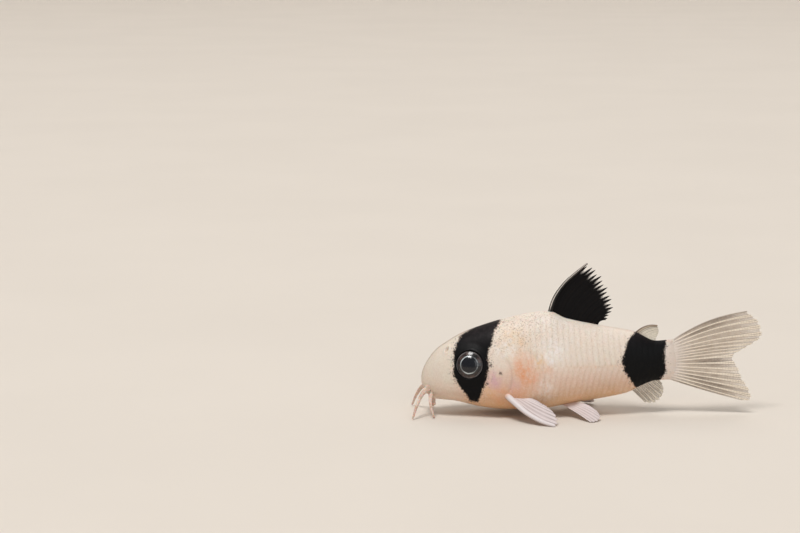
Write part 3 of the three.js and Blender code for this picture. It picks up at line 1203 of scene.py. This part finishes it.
@dataclass(frozen=True)
class HeadBones:
    """The cheek, the bones on top of the head and the nostrils, in relief."""

    cheek_point: Pair = (4, 4.9)
    cheek_slope: float = -0.12
    cheek_start: Range = (3.2, 4.2)
    cheek_end: Range = (8.2, 9.0)
    cheek_width: float = 0.16
    cheek_depth: float = 0.03
    cheek_shade: float = 0.2
    crown_start: Range = (9.6, 11)
    crown_end: Range = (16.5, 18)
    crown_rise: Range = (10, 12)
    shield_side: float = 1.5
    shield_wave: float = 0.35
    shield_width: float = 0.18
    shield_depth: float = 0.04
    shield_shade: float = 0.4
    nostril: Pair = (3.7, 1.75)
    nostril_rim: Pair = (0.36, 0.15)
    nostril_rise: float = 0.1
    nostril_radius: float = 0.2
    nostril_depth: float = 0.3
    nostril_shade: float = 0.22
    nostril_lowest: float = 7

    def relief(self, s: Array, z: Array, side: Array) -> tuple[Array, Array]:
        """Relief of the head, and painted shade in its creases and nostrils.

        Args:
            s: Stations.
            z: Heights.
            side: Distances from the midline.

        Returns:
            The relief in millimetres and a mask of painted shade in the creases and nostrils.
        """
        station, height = self.cheek_point
        cheek = bump(z, height + self.cheek_slope * (s - station), self.cheek_width)
        cheek = cheek * window(s, self.cheek_start, self.cheek_end) * on_flank(side)
        crown = window(s, self.crown_start, self.crown_end) * ease(z, *self.crown_rise)
        seam = self.shield_side + self.shield_wave * np.sin(1.3 * s)
        shield = bump(side, seam, self.shield_width) * crown
        away = np.sqrt((s - self.nostril[0]) ** 2 + (side - self.nostril[1]) ** 2)
        away = np.where(z < self.nostril_lowest, np.inf, away)
        relief = self.nostril_rise * bump(away, *self.nostril_rim)
        relief = relief - self.nostril_depth * bump(away, 0, self.nostril_radius)
        relief = relief - self.cheek_depth * cheek - self.shield_depth * shield
        crease_shade = self.cheek_shade * cheek + self.shield_shade * shield
        return relief, crease_shade + bump(away, 0, self.nostril_shade)


@dataclass(frozen=True)
class Mouth:
    """The small mouth under the snout, in relief, with each lip's place and width behind the gap."""

    station: float = 1.15
    curve: float = 0.5
    half_width: float = 1.4
    upper_lip: Pair = (-0.42, 0.28)
    upper_rise: float = 0.16
    lower_lip: Pair = (0.48, 0.3)
    lower_rise: float = 0.2
    gap: float = 0.11
    depth: float = 0.4
    shade: float = 0.14
    roof: Range = (3.6, 4.3)
    corner: Range = (1.2, 1.7)

    def relief(self, s: Array, z: Array, side: Array) -> tuple[Array, Array]:
        """Relief of the lips and the gap between them, and painted shade in the gap.

        Args:
            s: Stations.
            z: Heights.
            side: Distances from the midline.

        Returns:
            The relief in millimetres and a mask of painted shade in the gap.
        """
        under = (1 - ease(z, *self.roof)) * (1 - ease(side, *self.corner))
        gape = s - self.station - self.curve * (side / self.half_width) ** 2
        lips = self.upper_rise * bump(gape, *self.upper_lip)
        lips = lips + self.lower_rise * bump(gape, *self.lower_lip)
        lips = lips - self.depth * bump(gape, 0, self.gap)
        return lips * under, bump(gape, 0, self.shade) * under


@dataclass
class Skin:
    """One skin over head, gill covers, trunk and tail stalk, with plates and head bones in relief."""

    form: BodyForm
    eye: Eye
    rings: int = 500
    around: int = 340
    snout_density: float = 0.35
    nose_fade: Range = (0.02, 0.5)
    tail_fade: Range = (FLESH_END - 0.7, FLESH_END - 0.1)
    plates: Plates = Plates()
    gill: GillCover = GillCover()
    bones: HeadBones = HeadBones()
    mouth: Mouth = Mouth()
    markings: Markings = Markings()
    finish: SkinFinish = SkinFinish()
    patches: dict[str, tuple[Oval, ...]] = field(default_factory=lambda: {
        # Painted highlights: pale patches on the upper flank, the shoulder, the lower flank and along
        # the back.
        "pale_and_highlight": (Oval(18.9, 9.6, 1.7, 2.0), Oval(12.2, 10.2, 1.7, 1.3, 0.9),
                  Oval(17.9, 4.6, 1.2, 1.6, 0.6), Oval(20.5, 13.9, 3, 0.8, 0.4)),
        "gold": (Oval(17.1, 8.6, 0.9, 1.1), Oval(13.2, 11.2, 2.2, 2.0, 0.5),
                 Oval(9.8, 4.1, 1.0, 0.8, 0.6)),
        "gill": (Oval(14.6, 8.0, 1.4, 1.7, 0.85), Oval(15.7, 6.2, 1.5, 1.7, 0.8),
                 Oval(12.6, 3.4, 2.6, 1.5, 0.6), Oval(18.3, 7.2, 0.7, 1.0, 0.5)),
        "violet": (Oval(10.5, 5.7, 1.0, 1.3, 0.7), Oval(13.4, 4.9, 0.9, 1.2, 0.35)),
        "spots": (Oval(10.0, 7.9, 0.34, 0.5), Oval(11.4, 6.8, 0.34, 0.36),
                  Oval(9.5, 5.25, 0.3, 0.2, 1.1)),
    })

    def stations(self) -> Array:
        """Stations of the rings, closer together at the snout."""
        u = np.linspace(0, 1, self.rings)
        near = self.snout_density
        return np.minimum(FLESH_END * u * (near + (1 - near) * u * (1.5 - 0.5 * u)), FLESH_END)

    def masks(self, s: Array, y: Array, z: Array, share: Array) -> dict[str, Array]:
        """Patches of colour over the skin, each a value from 0 to 1 for every vertex.

        Args:
            s: Stations.
            y: Distances from the midline.
            z: Heights.
            share: Share of the way from the belly to the back.

        Returns:
            The masks by name. The one named black is a depth in millimetres.
        """
        above_line = z - profile(self.plates.side_line)(s)
        freckles = ease(share, 0.5, 0.85) * ease(s, 8, 9.5) * (0.3 + 0.7 * (1 - ease(s, 15, 22)))
        ridge = (1 - ease(np.abs(y), 0.1, 0.75)) * ease(share, 0.5, 0.95)
        belly = (1 - ease(share, 0.0, 0.36)) * ease(s, 3, 10)
        masks = {name: sum(oval.glow(s, z) for oval in ovals) for name, ovals in self.patches.items()}
        masks["gill"] = np.clip(masks["gill"], 0, 1)
        return masks | {
            "black": self.markings.depth(s, z),
            "low_flank": 1 - ease(above_line, -2.6, 1.6),
            "belly": belly * (1 - 0.5 * ease(s, 27, 31)) * (1 - ease(s, 32.5, 34.5)),
            "snout": (1 - ease(s, 4.0, 7.5)) * (0.4 + 0.6 * ease(z, 3.0, 6.0)),
            "root": ease(s, 34.6, 35.5),
            "freckles": freckles * (1 - ease(s, 27, 30)) + 0.12 * (s < 8),
            "midline": bump(above_line, 0, 0.22) * window(s, (19, 24), (29, 31)),
            "outline": ridge * (1 - ease(s, 5, 8)) + 0.5 * ridge * ease(s, 22, 26),
            # Painted light from above, lightening the black with height.
            "crown": ease(z, 9.5, 13),
        }

    def build(self) -> Pieces:
        """Makes the skin and lets it stand for the solids of flesh.

        Returns:
            The skin alone.
        """
        angles = np.linspace(0, 2 * np.pi, self.around, endpoint=False)
        s, angle = np.meshgrid(self.stations(), angles, indexing="ij")
        plain = self.form.place(s, angle)
        closed = np.concatenate([plain[:, -1:], plain, plain[:, :1]], axis=1)
        normal = surface_normals(closed)[:, 1:-1]
        y, z = plain[..., 1], plain[..., 2]
        side = np.abs(y)
        top, bottom, _, _ = self.form.section(s)
        plates, plate_edge, plate_face = self.plates.relief(s, z, top, bottom)
        gill, gill_shade = self.gill.relief(s, z, side)
        bones, bone_shade = self.bones.relief(s, z, side)
        mouth, mouth_shade = self.mouth.relief(s, z, side)
        relief = plates + gill + bones + mouth + self.eye.relief(plain)
        fade = window(s, self.nose_fade, self.tail_fade)
        places = plain + normal * (relief * fade)[..., None]
        masks = self.masks(s, y, z, (z - bottom) / np.maximum(top - bottom, 0.1))
        masks["plate_edge"] = plate_edge
        masks["plate_face"] = plate_face
        # Painted shade in the creases of the gill cover, head and mouth.
        masks["groove_shade"] = np.clip(gill_shade + bone_shade + mouth_shade, 0, 1)
        masks = {name: values.ravel() for name, values in masks.items()}
        flesh = ("head", "gill_cover_left", "gill_cover_right", "trunk", "tail_stalk")
        skin = Piece("skin", flesh, "skin")
        return skin.add(places.reshape(-1, 3), grid_faces(self.rings, self.around, wrap=True), masks,
                        self.finish.material(), MIDLINE)


@dataclass
class Fin(Piece):
    """A thin blade of branching rays between a root line and a margin line."""

    root: Points
    margin: Points
    rays: int
    bow: Bow
    leading: Points | None = None
    columns: int = 180
    rows: int = 90
    membrane: float = 0.035
    root_swell: float = 0.0
    root_bulge: float = 0.0
    swell_end: float = 0.27
    ray_height: float = 0.1
    ray_start: float = 1.1
    ray_fall: float = 0.75
    ray_width: float = 0.13
    taper: float = 0.55
    fray: float = 0.04
    fray_waves: float = 37
    fray_wave_share: float = 0.25
    branch: float = 0.35
    branch_end: float = 1.15
    fork: float = 0.25
    twig: float = 0.115
    twig_delay: float = 0.3
    border: float = 0.0
    border_range: Range = (0.12, 0.3)
    rim_width: float = 0.12
    rim_least: float = 0.12
    rim_length: float = 6
    ridge_start: Range = (-0.05, 0.2)
    shade: float = 0.6
    streak_depths: Range = (0.1, 1.0)
    streak_middles: Range = (0.4, 0.75)
    streak_length: float = 0.3
    streak_contrast: float = 1.5
    strands_per_ray: int = 9
    seed: int = 5

    def middle(self, u: Array, v: Array) -> Array:
        """Places of the blade's middle sheet.

        Args:
            u: Share of the way from the front border to the rear one.
            v: Share of the way from the root to the margin.

        Returns:
            Places as station, side and height.
        """
        start, end = smooth_line(self.root), even_line(self.margin)
        w = v[..., None]
        place = start(u) * (1 - w) + end(u) * w + self.bow(u, v)
        if self.leading is None:
            return place
        first = np.zeros_like(u)
        border = start(first) * (1 - w) + end(first) * w + self.bow(first, v)
        return place + (smooth_line(self.leading)(v) - border) * ((1 - u) ** 2)[..., None]

    def ray_strength(self, u: Array, v: Array, spacing: Array) -> Array:
        """How near each place is to a ray or one of its branches, 1 on it.

        Args:
            u: Share of the way across the fan.
            v: Share of the way along it.
            spacing: Width of the whole fan in millimetres at each place.

        Returns:
            The strength for each place.
        """
        gap = 1 / (self.rays - 1)
        width = self.ray_width * (1 - self.taper * v)
        total = np.zeros_like(u)
        for k in range(self.rays):
            for fork in (-self.fork, self.fork):
                for twig in (-self.twig, self.twig):
                    spread = fork * ease(v, self.branch, self.branch_end)
                    spread = spread + twig * ease(v, self.branch + self.twig_delay, self.branch_end)
                    centre = np.clip((k + spread) * gap, 0.0, 1.0)
                    total = np.maximum(total, np.exp(-(((u - centre) * spacing / width) ** 2)))
        return total

    def streaks(self, u: Array, v: Array) -> Array:
        """How dark the membrane is in each gap between two rays.

        Args:
            u: Share of the way across the fan.
            v: Share of the way along it.

        Returns:
            The darkness, 0 to 1.
        """
        chance = np.random.default_rng(self.seed)
        depth = chance.uniform(*self.streak_depths, self.rays) ** self.streak_contrast
        middle = chance.uniform(*self.streak_middles, self.rays)
        gap = np.clip((u * (self.rays - 1)).astype(int), 0, self.rays - 2)
        return self.shade * depth[gap] * bump(v, middle[gap], self.streak_length)

    def strands(self, u: Array) -> Array:
        """Fine streaks of the membrane that run along the rays.

        Args:
            u: Share of the way across the fan.

        Returns:
            The streaks, 0 to 1.
        """
        count = self.strands_per_ray * self.rays
        values = np.random.default_rng(self.seed + 1).uniform(0, 1, count)
        return np.interp(u, np.linspace(0, 1, count), values)

    def build(self, finish: bpy.types.Material, sides: Sequence[Side] = MIDLINE) -> Pieces:
        """Makes the fin, mirrored for each side it has.

        Args:
            finish: The fin's material.
            sides: The flanks that carry it, or the left alone for a fin on the midline.

        Returns:
            The fin of each side.
        """
        u, v = np.meshgrid(np.linspace(0, 1, self.columns), np.linspace(0, 1, self.rows), indexing="ij")
        sheet = self.middle(u, v)
        spacing = np.linalg.norm(np.gradient(sheet, axis=0), axis=-1) * (self.columns - 1)
        strength = self.ray_strength(u, v, spacing)
        length = 1 - self.fray * (1 - strength[:, -1:])
        length = length - self.fray_wave_share * self.fray * (1 + np.sin(self.fray_waves * u))
        sheet = self.middle(u, v * length)
        from_border = np.minimum(u, 1 - u) * spacing
        rim = np.minimum(from_border, (1 - v) * self.rim_length) / self.rim_width
        inward = 1 - (2 * u - 1) ** 2
        clear_of_root = v - self.root_bulge * inward
        ridge = self.ray_height * strength * (self.ray_start - self.ray_fall * v)
        ridge = ridge * ease(clear_of_root, *self.ridge_start)
        fleshy = self.root_swell * np.clip(1 - v / self.swell_end, 0, 1) ** 2 * np.sqrt(inward)
        half = (self.membrane + ridge + fleshy) * np.clip(rim, self.rim_least, 1)
        normal = surface_normals(sheet)
        steps = np.linalg.norm(np.diff(sheet, axis=1, prepend=sheet[:, :1]), axis=-1)
        masks = {
            "ray": strength, "along": np.cumsum(steps, axis=1), "share": v,
            "clear_of_root": clear_of_root,
            "shade": self.streaks(u, v), "strand": self.strands(u),
            "border": self.border * (1 - ease(from_border, *self.border_range)),
        }
        doubled = {name: np.tile(values.ravel(), 2) for name, values in masks.items()}
        front, back = sheet + normal * half[..., None], sheet - normal * half[..., None]
        places = np.vstack([front.reshape(-1, 3), back.reshape(-1, 3)])
        return self.add(places, self.faces(), doubled, finish, sides)

    def faces(self) -> Array:
        """Numbers the faces of the blade's two sides and of the border between them.

        Returns:
            Four corner numbers for each face.
        """
        count = self.columns * self.rows
        grid = np.arange(count).reshape(self.columns, self.rows)
        loop = np.concatenate([grid[:, 0], grid[-1, 1:], grid[-2::-1, -1], grid[0, -2:0:-1]])
        after = np.roll(loop, -1)
        rim = np.stack([loop, after, after + count, loop + count], axis=1)
        back = grid_faces(self.columns, self.rows, first=count)[:, ::-1]
        return np.vstack([grid_faces(self.columns, self.rows), back, rim])


@dataclass
class Rod(Piece):
    """A tapered round rod along a smooth curve, for spines and barbels."""

    points: Points
    root_radius: float
    tip_radius: float
    flare: float = 0.0
    knobs: float = 0.0
    front: Sequence[float] = (-0.8, 0.0, 0.6)
    flare_fall: float = 9
    tip_density: float = 1.4
    tip_round: float = 1.5
    knob_waves: float = 26
    knob_sides: int = 3
    knob_twist: float = 9
    rings: int = 90
    around: int = 28

    def build(self, finish: bpy.types.Material, sides: Sequence[Side] = MIDLINE) -> Pieces:
        """Makes the rod, mirrored for each side it has.

        Args:
            finish: The rod's material.
            sides: The flanks that carry it, or the left alone for a rod on the midline.

        Returns:
            The rod of each side.
        """
        t = 1 - (1 - np.linspace(0, 1, self.rings)) ** self.tip_density
        spine = smooth_line(self.points)(t)
        tangent = np.gradient(spine, axis=0)
        tangent /= np.linalg.norm(tangent, axis=1, keepdims=True)
        aside = np.array([0.3, 0.2, 1.0])
        across = np.cross(tangent, aside)
        across /= np.linalg.norm(across, axis=1, keepdims=True)
        other = np.cross(tangent, across)
        radius = self.root_radius + (self.tip_radius - self.root_radius) * t
        radius = radius + self.flare * np.exp(-t * self.flare_fall)
        remaining = np.linalg.norm(spine - spine[-1], axis=1)
        radius = radius * quarter_round(remaining, self.tip_round * self.tip_radius)
        angle = np.linspace(0, 2 * np.pi, self.around, endpoint=False)
        knobs = self.knobs * np.sin(self.knob_waves * t)[:, None]
        swell = 1 + knobs * np.sin(self.knob_sides * angle + self.knob_twist * t[:, None])
        turn = across[:, None] * np.cos(angle)[None, :, None]
        turn = turn + other[:, None] * np.sin(angle)[None, :, None]
        places = (spine[:, None] + (radius[:, None] * swell)[..., None] * turn).reshape(-1, 3)
        # How far each point faces the given front, which places the spines' front line, a painted
        # highlight where paler.
        masks = {"share": np.repeat(t, self.around), "front": (turn @ np.array(self.front)).ravel()}
        faces = np.vstack([grid_faces(self.rings, self.around, wrap=True), self.cap_faces()])
        return self.add(places, faces, masks, finish, sides)

    def cap_faces(self) -> Array:
        """Faces that close the rod's root as a strip of quads between opposite sides."""
        j = np.arange(self.around // 2 - 1)
        return np.stack([j, j + 1, self.around - 2 - j, self.around - 1 - j], axis=1)


@dataclass(frozen=True)
class Fins:
    """All fins and spines of the fish."""

    dorsal_spine: Points = ((18.55, 14.3), (19.35, 17.0), (20.8, 19.2), (22.6, 20.9), (24.1, 22.15))
    adipose_spine: Points = ((31.1, 11.7), (32.2, 12.55), (33.3, 12.95), (34.4, 12.95))
    pectoral_spine: Points = ((12.2, -3.9, 3.6), (13.2, -5.5, 2.9), (15.0, -7.3, 1.65),
                              (17.1, -8.6, 0.65), (19.1, -9.25, 0.1))
    dorsal_sweep: float = -0.3
    dorsal_wave: float = 0.25
    dorsal_lift: float = 0.4
    tail_wave: float = 0.55
    upper_lobe_lift: float = 0.9
    lower_lobe_lift: float = -0.15
    clear: FinFinish = FinFinish(
        "clear_fin", tint(178, 160, 138), tint(244, 235, 218), tint(92, 80, 68), tint(228, 211, 196),
        membrane_alpha=0.5, edge_alpha=0.3)
    tail: FinFinish = FinFinish(
        "tail_fin", tint(202, 182, 160), tint(252, 240, 222), tint(104, 86, 72), tint(231, 218, 208),
        membrane_alpha=0.5, edge_alpha=0.22, clear_from=0.65, gap=0.45, root_end=0.2)
    paired: FinFinish = FinFinish(
        "paired_fin", tint(208, 193, 190), tint(222, 210, 208), tint(140, 122, 118), tint(222, 196, 184),
        membrane_alpha=0.88, edge_alpha=0.5, joints=0.1, gap=0.06)
    black: FinFinish = FinFinish(
        "black_fin", tint(12, 11, 12), tint(16, 15, 16), tint(30, 25, 24), tint(14, 13, 14),
        membrane_alpha=0.98, edge_alpha=0.12, ray_alpha=1.0, clear_from=0.84, roughness=0.6,
        shine=0.15)
    # The dark spine's pale front line is a painted highlight.
    dark_spine: SpineFinish = SpineFinish(
        "dark_spine", tint(224, 214, 204), tint(22, 20, 20), tint(96, 88, 82), tint(18, 16, 16),
        line_end=0.5)
    fine_spine: SpineFinish = SpineFinish(
        "fine_spine", tint(120, 102, 86), tint(206, 190, 170), tint(150, 132, 112), tint(60, 48, 42))
    # The pale spine's lighter front line is a painted highlight.
    pale_spine: SpineFinish = SpineFinish(
        "pale_spine", tint(226, 217, 216), tint(208, 193, 190), tint(198, 188, 186), tint(222, 180, 156))

    def still(self, u: Array, v: Array) -> Array:
        """No bow at all."""
        return np.zeros(u.shape + (3,))

    def dorsal_bow(self, u: Array, v: Array) -> Array:
        """How the dorsal fin's rays curve.

        Args:
            u: Share of the way across the fan.
            v: Share of the way along it.

        Returns:
            Offsets as station, side and height.
        """
        arc = np.sin(np.pi * v)
        wave = self.dorsal_wave * v * np.sin(5 * u) * arc
        return offsets(self.dorsal_sweep * arc, wave, self.dorsal_lift * arc, u)

    def tail_bow(self, u: Array, v: Array) -> Array:
        """How the tail fin's lobes curve, with a gentle wave from side to side.

        Args:
            u: Share of the way across the fan.
            v: Share of the way along it.

        Returns:
            Offsets as station, side and height.
        """
        upper, lower = self.upper_lobe_lift * (1 - 2 * u), self.lower_lobe_lift * (2 * u - 1)
        lift = np.where(u < 0.5, upper, lower) * np.sin(np.pi * v)
        return offsets(0, self.tail_wave * v * v * np.sin(np.pi * (1.5 * u + 0.2)), lift, u)

    def arched(self, height: float) -> Bow:
        """A bow that lifts a paired fin between its root and tip."""
        return lambda u, v: offsets(0, 0, height * np.sin(np.pi * v) * (0.3 + 0.7 * u), u)

    def dorsal(self) -> Pieces:
        """Makes the black dorsal fin with its spine.

        Returns:
            The fin and the spine.
        """
        line = flat(self.dorsal_spine)
        fin = Fin("fin_dorsal", ("dorsal_fin",), "black_fin", flat([(19.3, 14.4), (25.6, 12.5)]),
                  flat([(24.0, 21.9), (25.1, 21.2), (26.1, 20.2), (26.9, 18.7), (27.6, 17),
                        (27.9, 15.5), (26.9, 13.8)]),
                  rays=9, bow=self.dorsal_bow, leading=line, columns=260, rows=110, fray=0.12,
                  branch=0.25, twig=0.0, ray_width=0.2, taper=0.3, ray_height=0.07, shade=0.0)
        spine = Rod("spine_dorsal", ("dorsal_spine",), "spine", line, 0.36, 0.12)
        return fin.build(self.black.material()) + spine.build(self.dark_spine.material())

    def adipose(self, membrane: bpy.types.Material) -> Pieces:
        """Makes the small adipose fin with its spine.

        Args:
            membrane: The fin's material.

        Returns:
            The fin and the spine.
        """
        line = flat(self.adipose_spine)
        fin = Fin("fin_adipose", ("adipose_fin",), "clear_fin", flat([(31.6, 11.5), (33.9, 10.3)]),
                  flat([(34.4, 12.8), (34.6, 12.1), (34.1, 10.9)]), rays=5, bow=self.still,
                  leading=line, columns=90, rows=60, ray_height=0.03, branch=2, ray_width=0.16,
                  border=0.5)
        spine = Rod("spine_adipose", ("adipose_spine",), "spine", line, 0.24, 0.12)
        return fin.build(membrane) + spine.build(self.fine_spine.material())

    def anal(self, membrane: bpy.types.Material) -> Pieces:
        """Makes the anal fin.

        Args:
            membrane: The fin's material.

        Returns:
            The fin alone.
        """
        fin = Fin("fin_anal", ("anal_fin",), "clear_fin", flat([(30.4, 3.8), (34.3, 5.4)]),
                  flat([(32.8, 1.5), (34.0, 1.45), (35.0, 2.1), (35.5, 3.2), (35.2, 4.4)]),
                  rays=8, bow=self.still, columns=140, rows=70, fork=0.17, twig=0.06, fray=0.05,
                  border=0.5, shade=0.3)
        return fin.build(membrane)

    def caudal(self) -> Pieces:
        """Makes the forked tail fin.

        Returns:
            The fin alone.
        """
        fin = Fin("fin_tail", ("caudal_fin_upper", "caudal_fin_lower"), "clear_fin",
                  flat([(35.6, 10.3), (35.6, 5.2)]),
                  flat([(47.4, 15.1), (49, 13.7), (49.8, 11.6), (48.5, 10.3), (46.9, 9.4), (45.6, 8.6),
                        (45.6, 8.0), (46.2, 6.8), (47.1, 4.9), (48, 3.3), (48.3, 2.1), (46.8, 1.95)]),
                  rays=18, bow=self.tail_bow, columns=440, rows=140, root_swell=0.88, root_bulge=0.12,
                  ray_width=0.15, taper=0.4, fork=0.17, twig=0.07, branch=0.4, border=1.0, shade=0.8,
                  fray=0.02)
        return fin.build(self.tail.material())

    def pectorals(self, membrane: bpy.types.Material) -> Pieces:
        """Makes the pectoral fins with their spines.

        Args:
            membrane: The fins' material.

        Returns:
            The fins and the spines.
        """
        fin = Fin("fin_pectoral", ("pectoral_fin",), "clear_fin", ((12.6, -3.8, 3.6), (14.6, -4.0, 3.0)),
                  ((19, -9.15, 0.25), (19.4, -8.2, 0.6), (19.2, -7.1, 1.3), (18.4, -6.3, 2.0),
                   (17.2, -5.8, 2.6)),
                  rays=8, bow=self.arched(0.4), leading=self.pectoral_spine, columns=160, rows=90,
                  membrane=0.05, ray_height=0.02, ray_width=0.23, taper=0.25, fork=0.18, twig=0.07,
                  shade=0.75, seed=9)
        spine = Rod("spine_pectoral", ("pectoral_spine",), "spine", self.pectoral_spine, 0.5, 0.24,
                    front=(-0.3, -0.4, 0.87))
        return fin.build(membrane, BOTH) + spine.build(self.pale_spine.material(), BOTH)

    def pelvics(self, membrane: bpy.types.Material) -> Pieces:
        """Makes the pelvic fins.

        Args:
            membrane: The fins' material.

        Returns:
            The fins.
        """
        fin = Fin("fin_pelvic", ("pelvic_fin",), "clear_fin", ((20.5, -2.3, 1.7), (22.4, -2.4, 2.1)),
                  ((24.3, -6.85, 0.1), (25.3, -6.3, 0.15), (25.8, -5.2, 0.6), (25.4, -4.2, 1.2)),
                  rays=7, bow=self.arched(0.35), columns=140, rows=80, membrane=0.05, ray_height=0.02,
                  ray_width=0.22, taper=0.25, fork=0.18, twig=0.07, shade=0.6, seed=3)
        return fin.build(membrane, BOTH)

    def build(self) -> Pieces:
        """Makes every fin and spine.

        Returns:
            The fins and the spines.
        """
        clear, paired = self.clear.material(), self.paired.material()
        on_midline = self.dorsal() + self.adipose(clear) + self.anal(clear) + self.caudal()
        return on_midline + self.pectorals(paired) + self.pelvics(paired)


@dataclass(frozen=True)
class Barbels:
    """Three pairs of fleshy feelers round the mouth."""

    upper: Points = ((1.0, -1.5, 4.0), (0.1, -2.6, 3.3), (-0.7, -3.9, 1.8), (-1.3, -4.9, 0.12))
    lower: Points = ((1.5, -1.6, 3.2), (1.3, -2.6, 2.5), (1.5, -3.4, 1.3), (1.85, -3.95, 0.12))
    chin: Points = ((2.0, -0.7, 2.9), (1.8, -0.9, 2.1), (2.0, -1.1, 1.35))
    knobs: float = 0.06
    finish: BarbelFinish = BarbelFinish()

    def build(self) -> Pieces:
        """Makes the barbels.

        Returns:
            The six barbels.
        """
        skin = self.finish.material()
        rows = (("upper", self.upper, 0.36, 0.13, 0.25), ("lower", self.lower, 0.32, 0.13, 0.2),
                ("chin", self.chin, 0.32, 0.16, 0.15))
        made = []
        for name, points, root, tip, flare in rows:
            feeler = Rod(f"feeler_{name}", (f"barbel_{name}",), "skin", points, root, tip, flare,
                         self.knobs)
            made += feeler.build(skin, BOTH)
        return made


@dataclass(frozen=True)
class Lamp:
    """A square soft light, with its place and side in metres and its power in watts."""

    name: str
    place: tuple[float, float, float]
    side: float
    power: float
    tone: tuple[float, float, float] = (1, 1, 1)


@dataclass(frozen=True)
class Studio:
    """Pale floor and backdrop, soft lights and the camera at the photo's angle."""

    lens: float = 108.0
    sensor: float = 36.0
    clip: Range = (0.02, 50.0)
    camera_place: tuple[float, float, float] = (-27.3, -343.4, 77.3)
    camera_down: float = 9.2
    floor_tone: Tone = tint(222, 213, 202)
    floor_cloud: Tone = tint(224, 215, 204)
    floor_front: float = -2.5
    floor_end: float = 1.2
    floor_half_width: float = 4.0
    sweep_radius: float = 0.5
    wall_height: float = 3.0
    aim: tuple[float, float, float] = (0, 0, 0.008)
    air: float = 0.33
    air_tone: Tone = (0.95, 0.97, 1.0, 1)
    lamps: tuple[Lamp, ...] = (
        Lamp("key", (-0.5, -0.8, 2.4), 0.9, 41, (1.0, 0.985, 0.965)),
        Lamp("fill", (1.2, -2.2, 0.9), 1.6, 10, (0.97, 0.98, 1.0)),
        Lamp("back", (0.3, 1.0, 1.6), 1.2, 6))

    def floor(self) -> None:
        """Makes the floor, which sweeps up into a backdrop far behind."""
        f = Finish("studio_floor")
        cloud = f.step(f.noise(0.02, 3), 0.3, 0.7)
        f.set(Base_Color=f.blend(cloud, self.floor_tone, self.floor_cloud), Roughness=0.85)
        turns = [(self.floor_front, 0.0), (self.floor_end, 0.0)]
        for angle in np.linspace(0.1, math.pi / 2, 12):
            rise = self.sweep_radius - self.sweep_radius * math.cos(angle)
            turns.append((self.floor_end + self.sweep_radius * math.sin(angle), rise))
        turns.append((self.floor_end + self.sweep_radius, self.wall_height))
        wide = self.floor_half_width
        mesh = bpy.data.meshes.new("floor")
        places = [(x, y, z) for y, z in turns for x in (-wide, wide)]
        faces = [(2 * i, 2 * i + 1, 2 * i + 3, 2 * i + 2) for i in range(len(turns) - 1)]
        mesh.from_pydata(places, [], faces)
        mesh.polygons.foreach_set("use_smooth", [True] * len(faces))
        mesh.materials.append(f.material)
        floor = bpy.data.objects.new("floor", mesh)
        bpy.context.scene.collection.objects.link(floor)

    def hang(self, lamp: Lamp) -> None:
        """Hangs a lamp, aimed at the fish.

        Args:
            lamp: The lamp.
        """
        light = bpy.data.lights.new(lamp.name, "AREA")
        light.size = lamp.side
        light.energy = lamp.power
        light.color = lamp.tone
        piece = bpy.data.objects.new(lamp.name, light)
        piece.location = lamp.place
        direction = Vector(self.aim) - Vector(lamp.place)
        piece.rotation_euler = direction.to_track_quat("-Z", "Y").to_euler()
        bpy.context.scene.collection.objects.link(piece)

    def camera(self) -> None:
        """Sets the camera where the photo was taken from."""
        view = bpy.data.cameras.new("camera")
        view.lens = self.lens
        view.sensor_width = self.sensor
        view.clip_start, view.clip_end = self.clip
        camera = bpy.data.objects.new("camera", view)
        camera.location = [c * MM for c in self.camera_place]
        camera.rotation_euler = (math.radians(90 - self.camera_down), 0, 0)
        bpy.context.scene.collection.objects.link(camera)
        bpy.context.scene.camera = camera

    def build(self) -> None:
        """Makes the whole studio."""
        self.camera()
        self.floor()
        for lamp in self.lamps:
            self.hang(lamp)
        world = bpy.data.worlds.new("studio_air")
        world.use_nodes = True
        background = world.node_tree.nodes["Background"]
        background.inputs["Color"].default_value = self.air_tone
        background.inputs["Strength"].default_value = self.air
        bpy.context.scene.world = world
        bpy.context.scene.view_settings.view_transform = "Standard"


def main() -> None:
    """Builds the model and its studio in order, and reports each piece."""
    logging.basicConfig(level=logging.INFO, format="%(name)s %(message)s")
    form = BodyForm()
    eye = Eye(form)
    for part in (Skin(form, eye), eye, Fins(), Barbels()):
        for piece in part.build():
            LOG.info("%s: %s, %d faces", type(part).__name__, piece.name, len(piece.data.polygons))
    Studio().build()
    LOG.info("Studio: floor, lamps and camera")


if __name__ == "__main__":
    main()
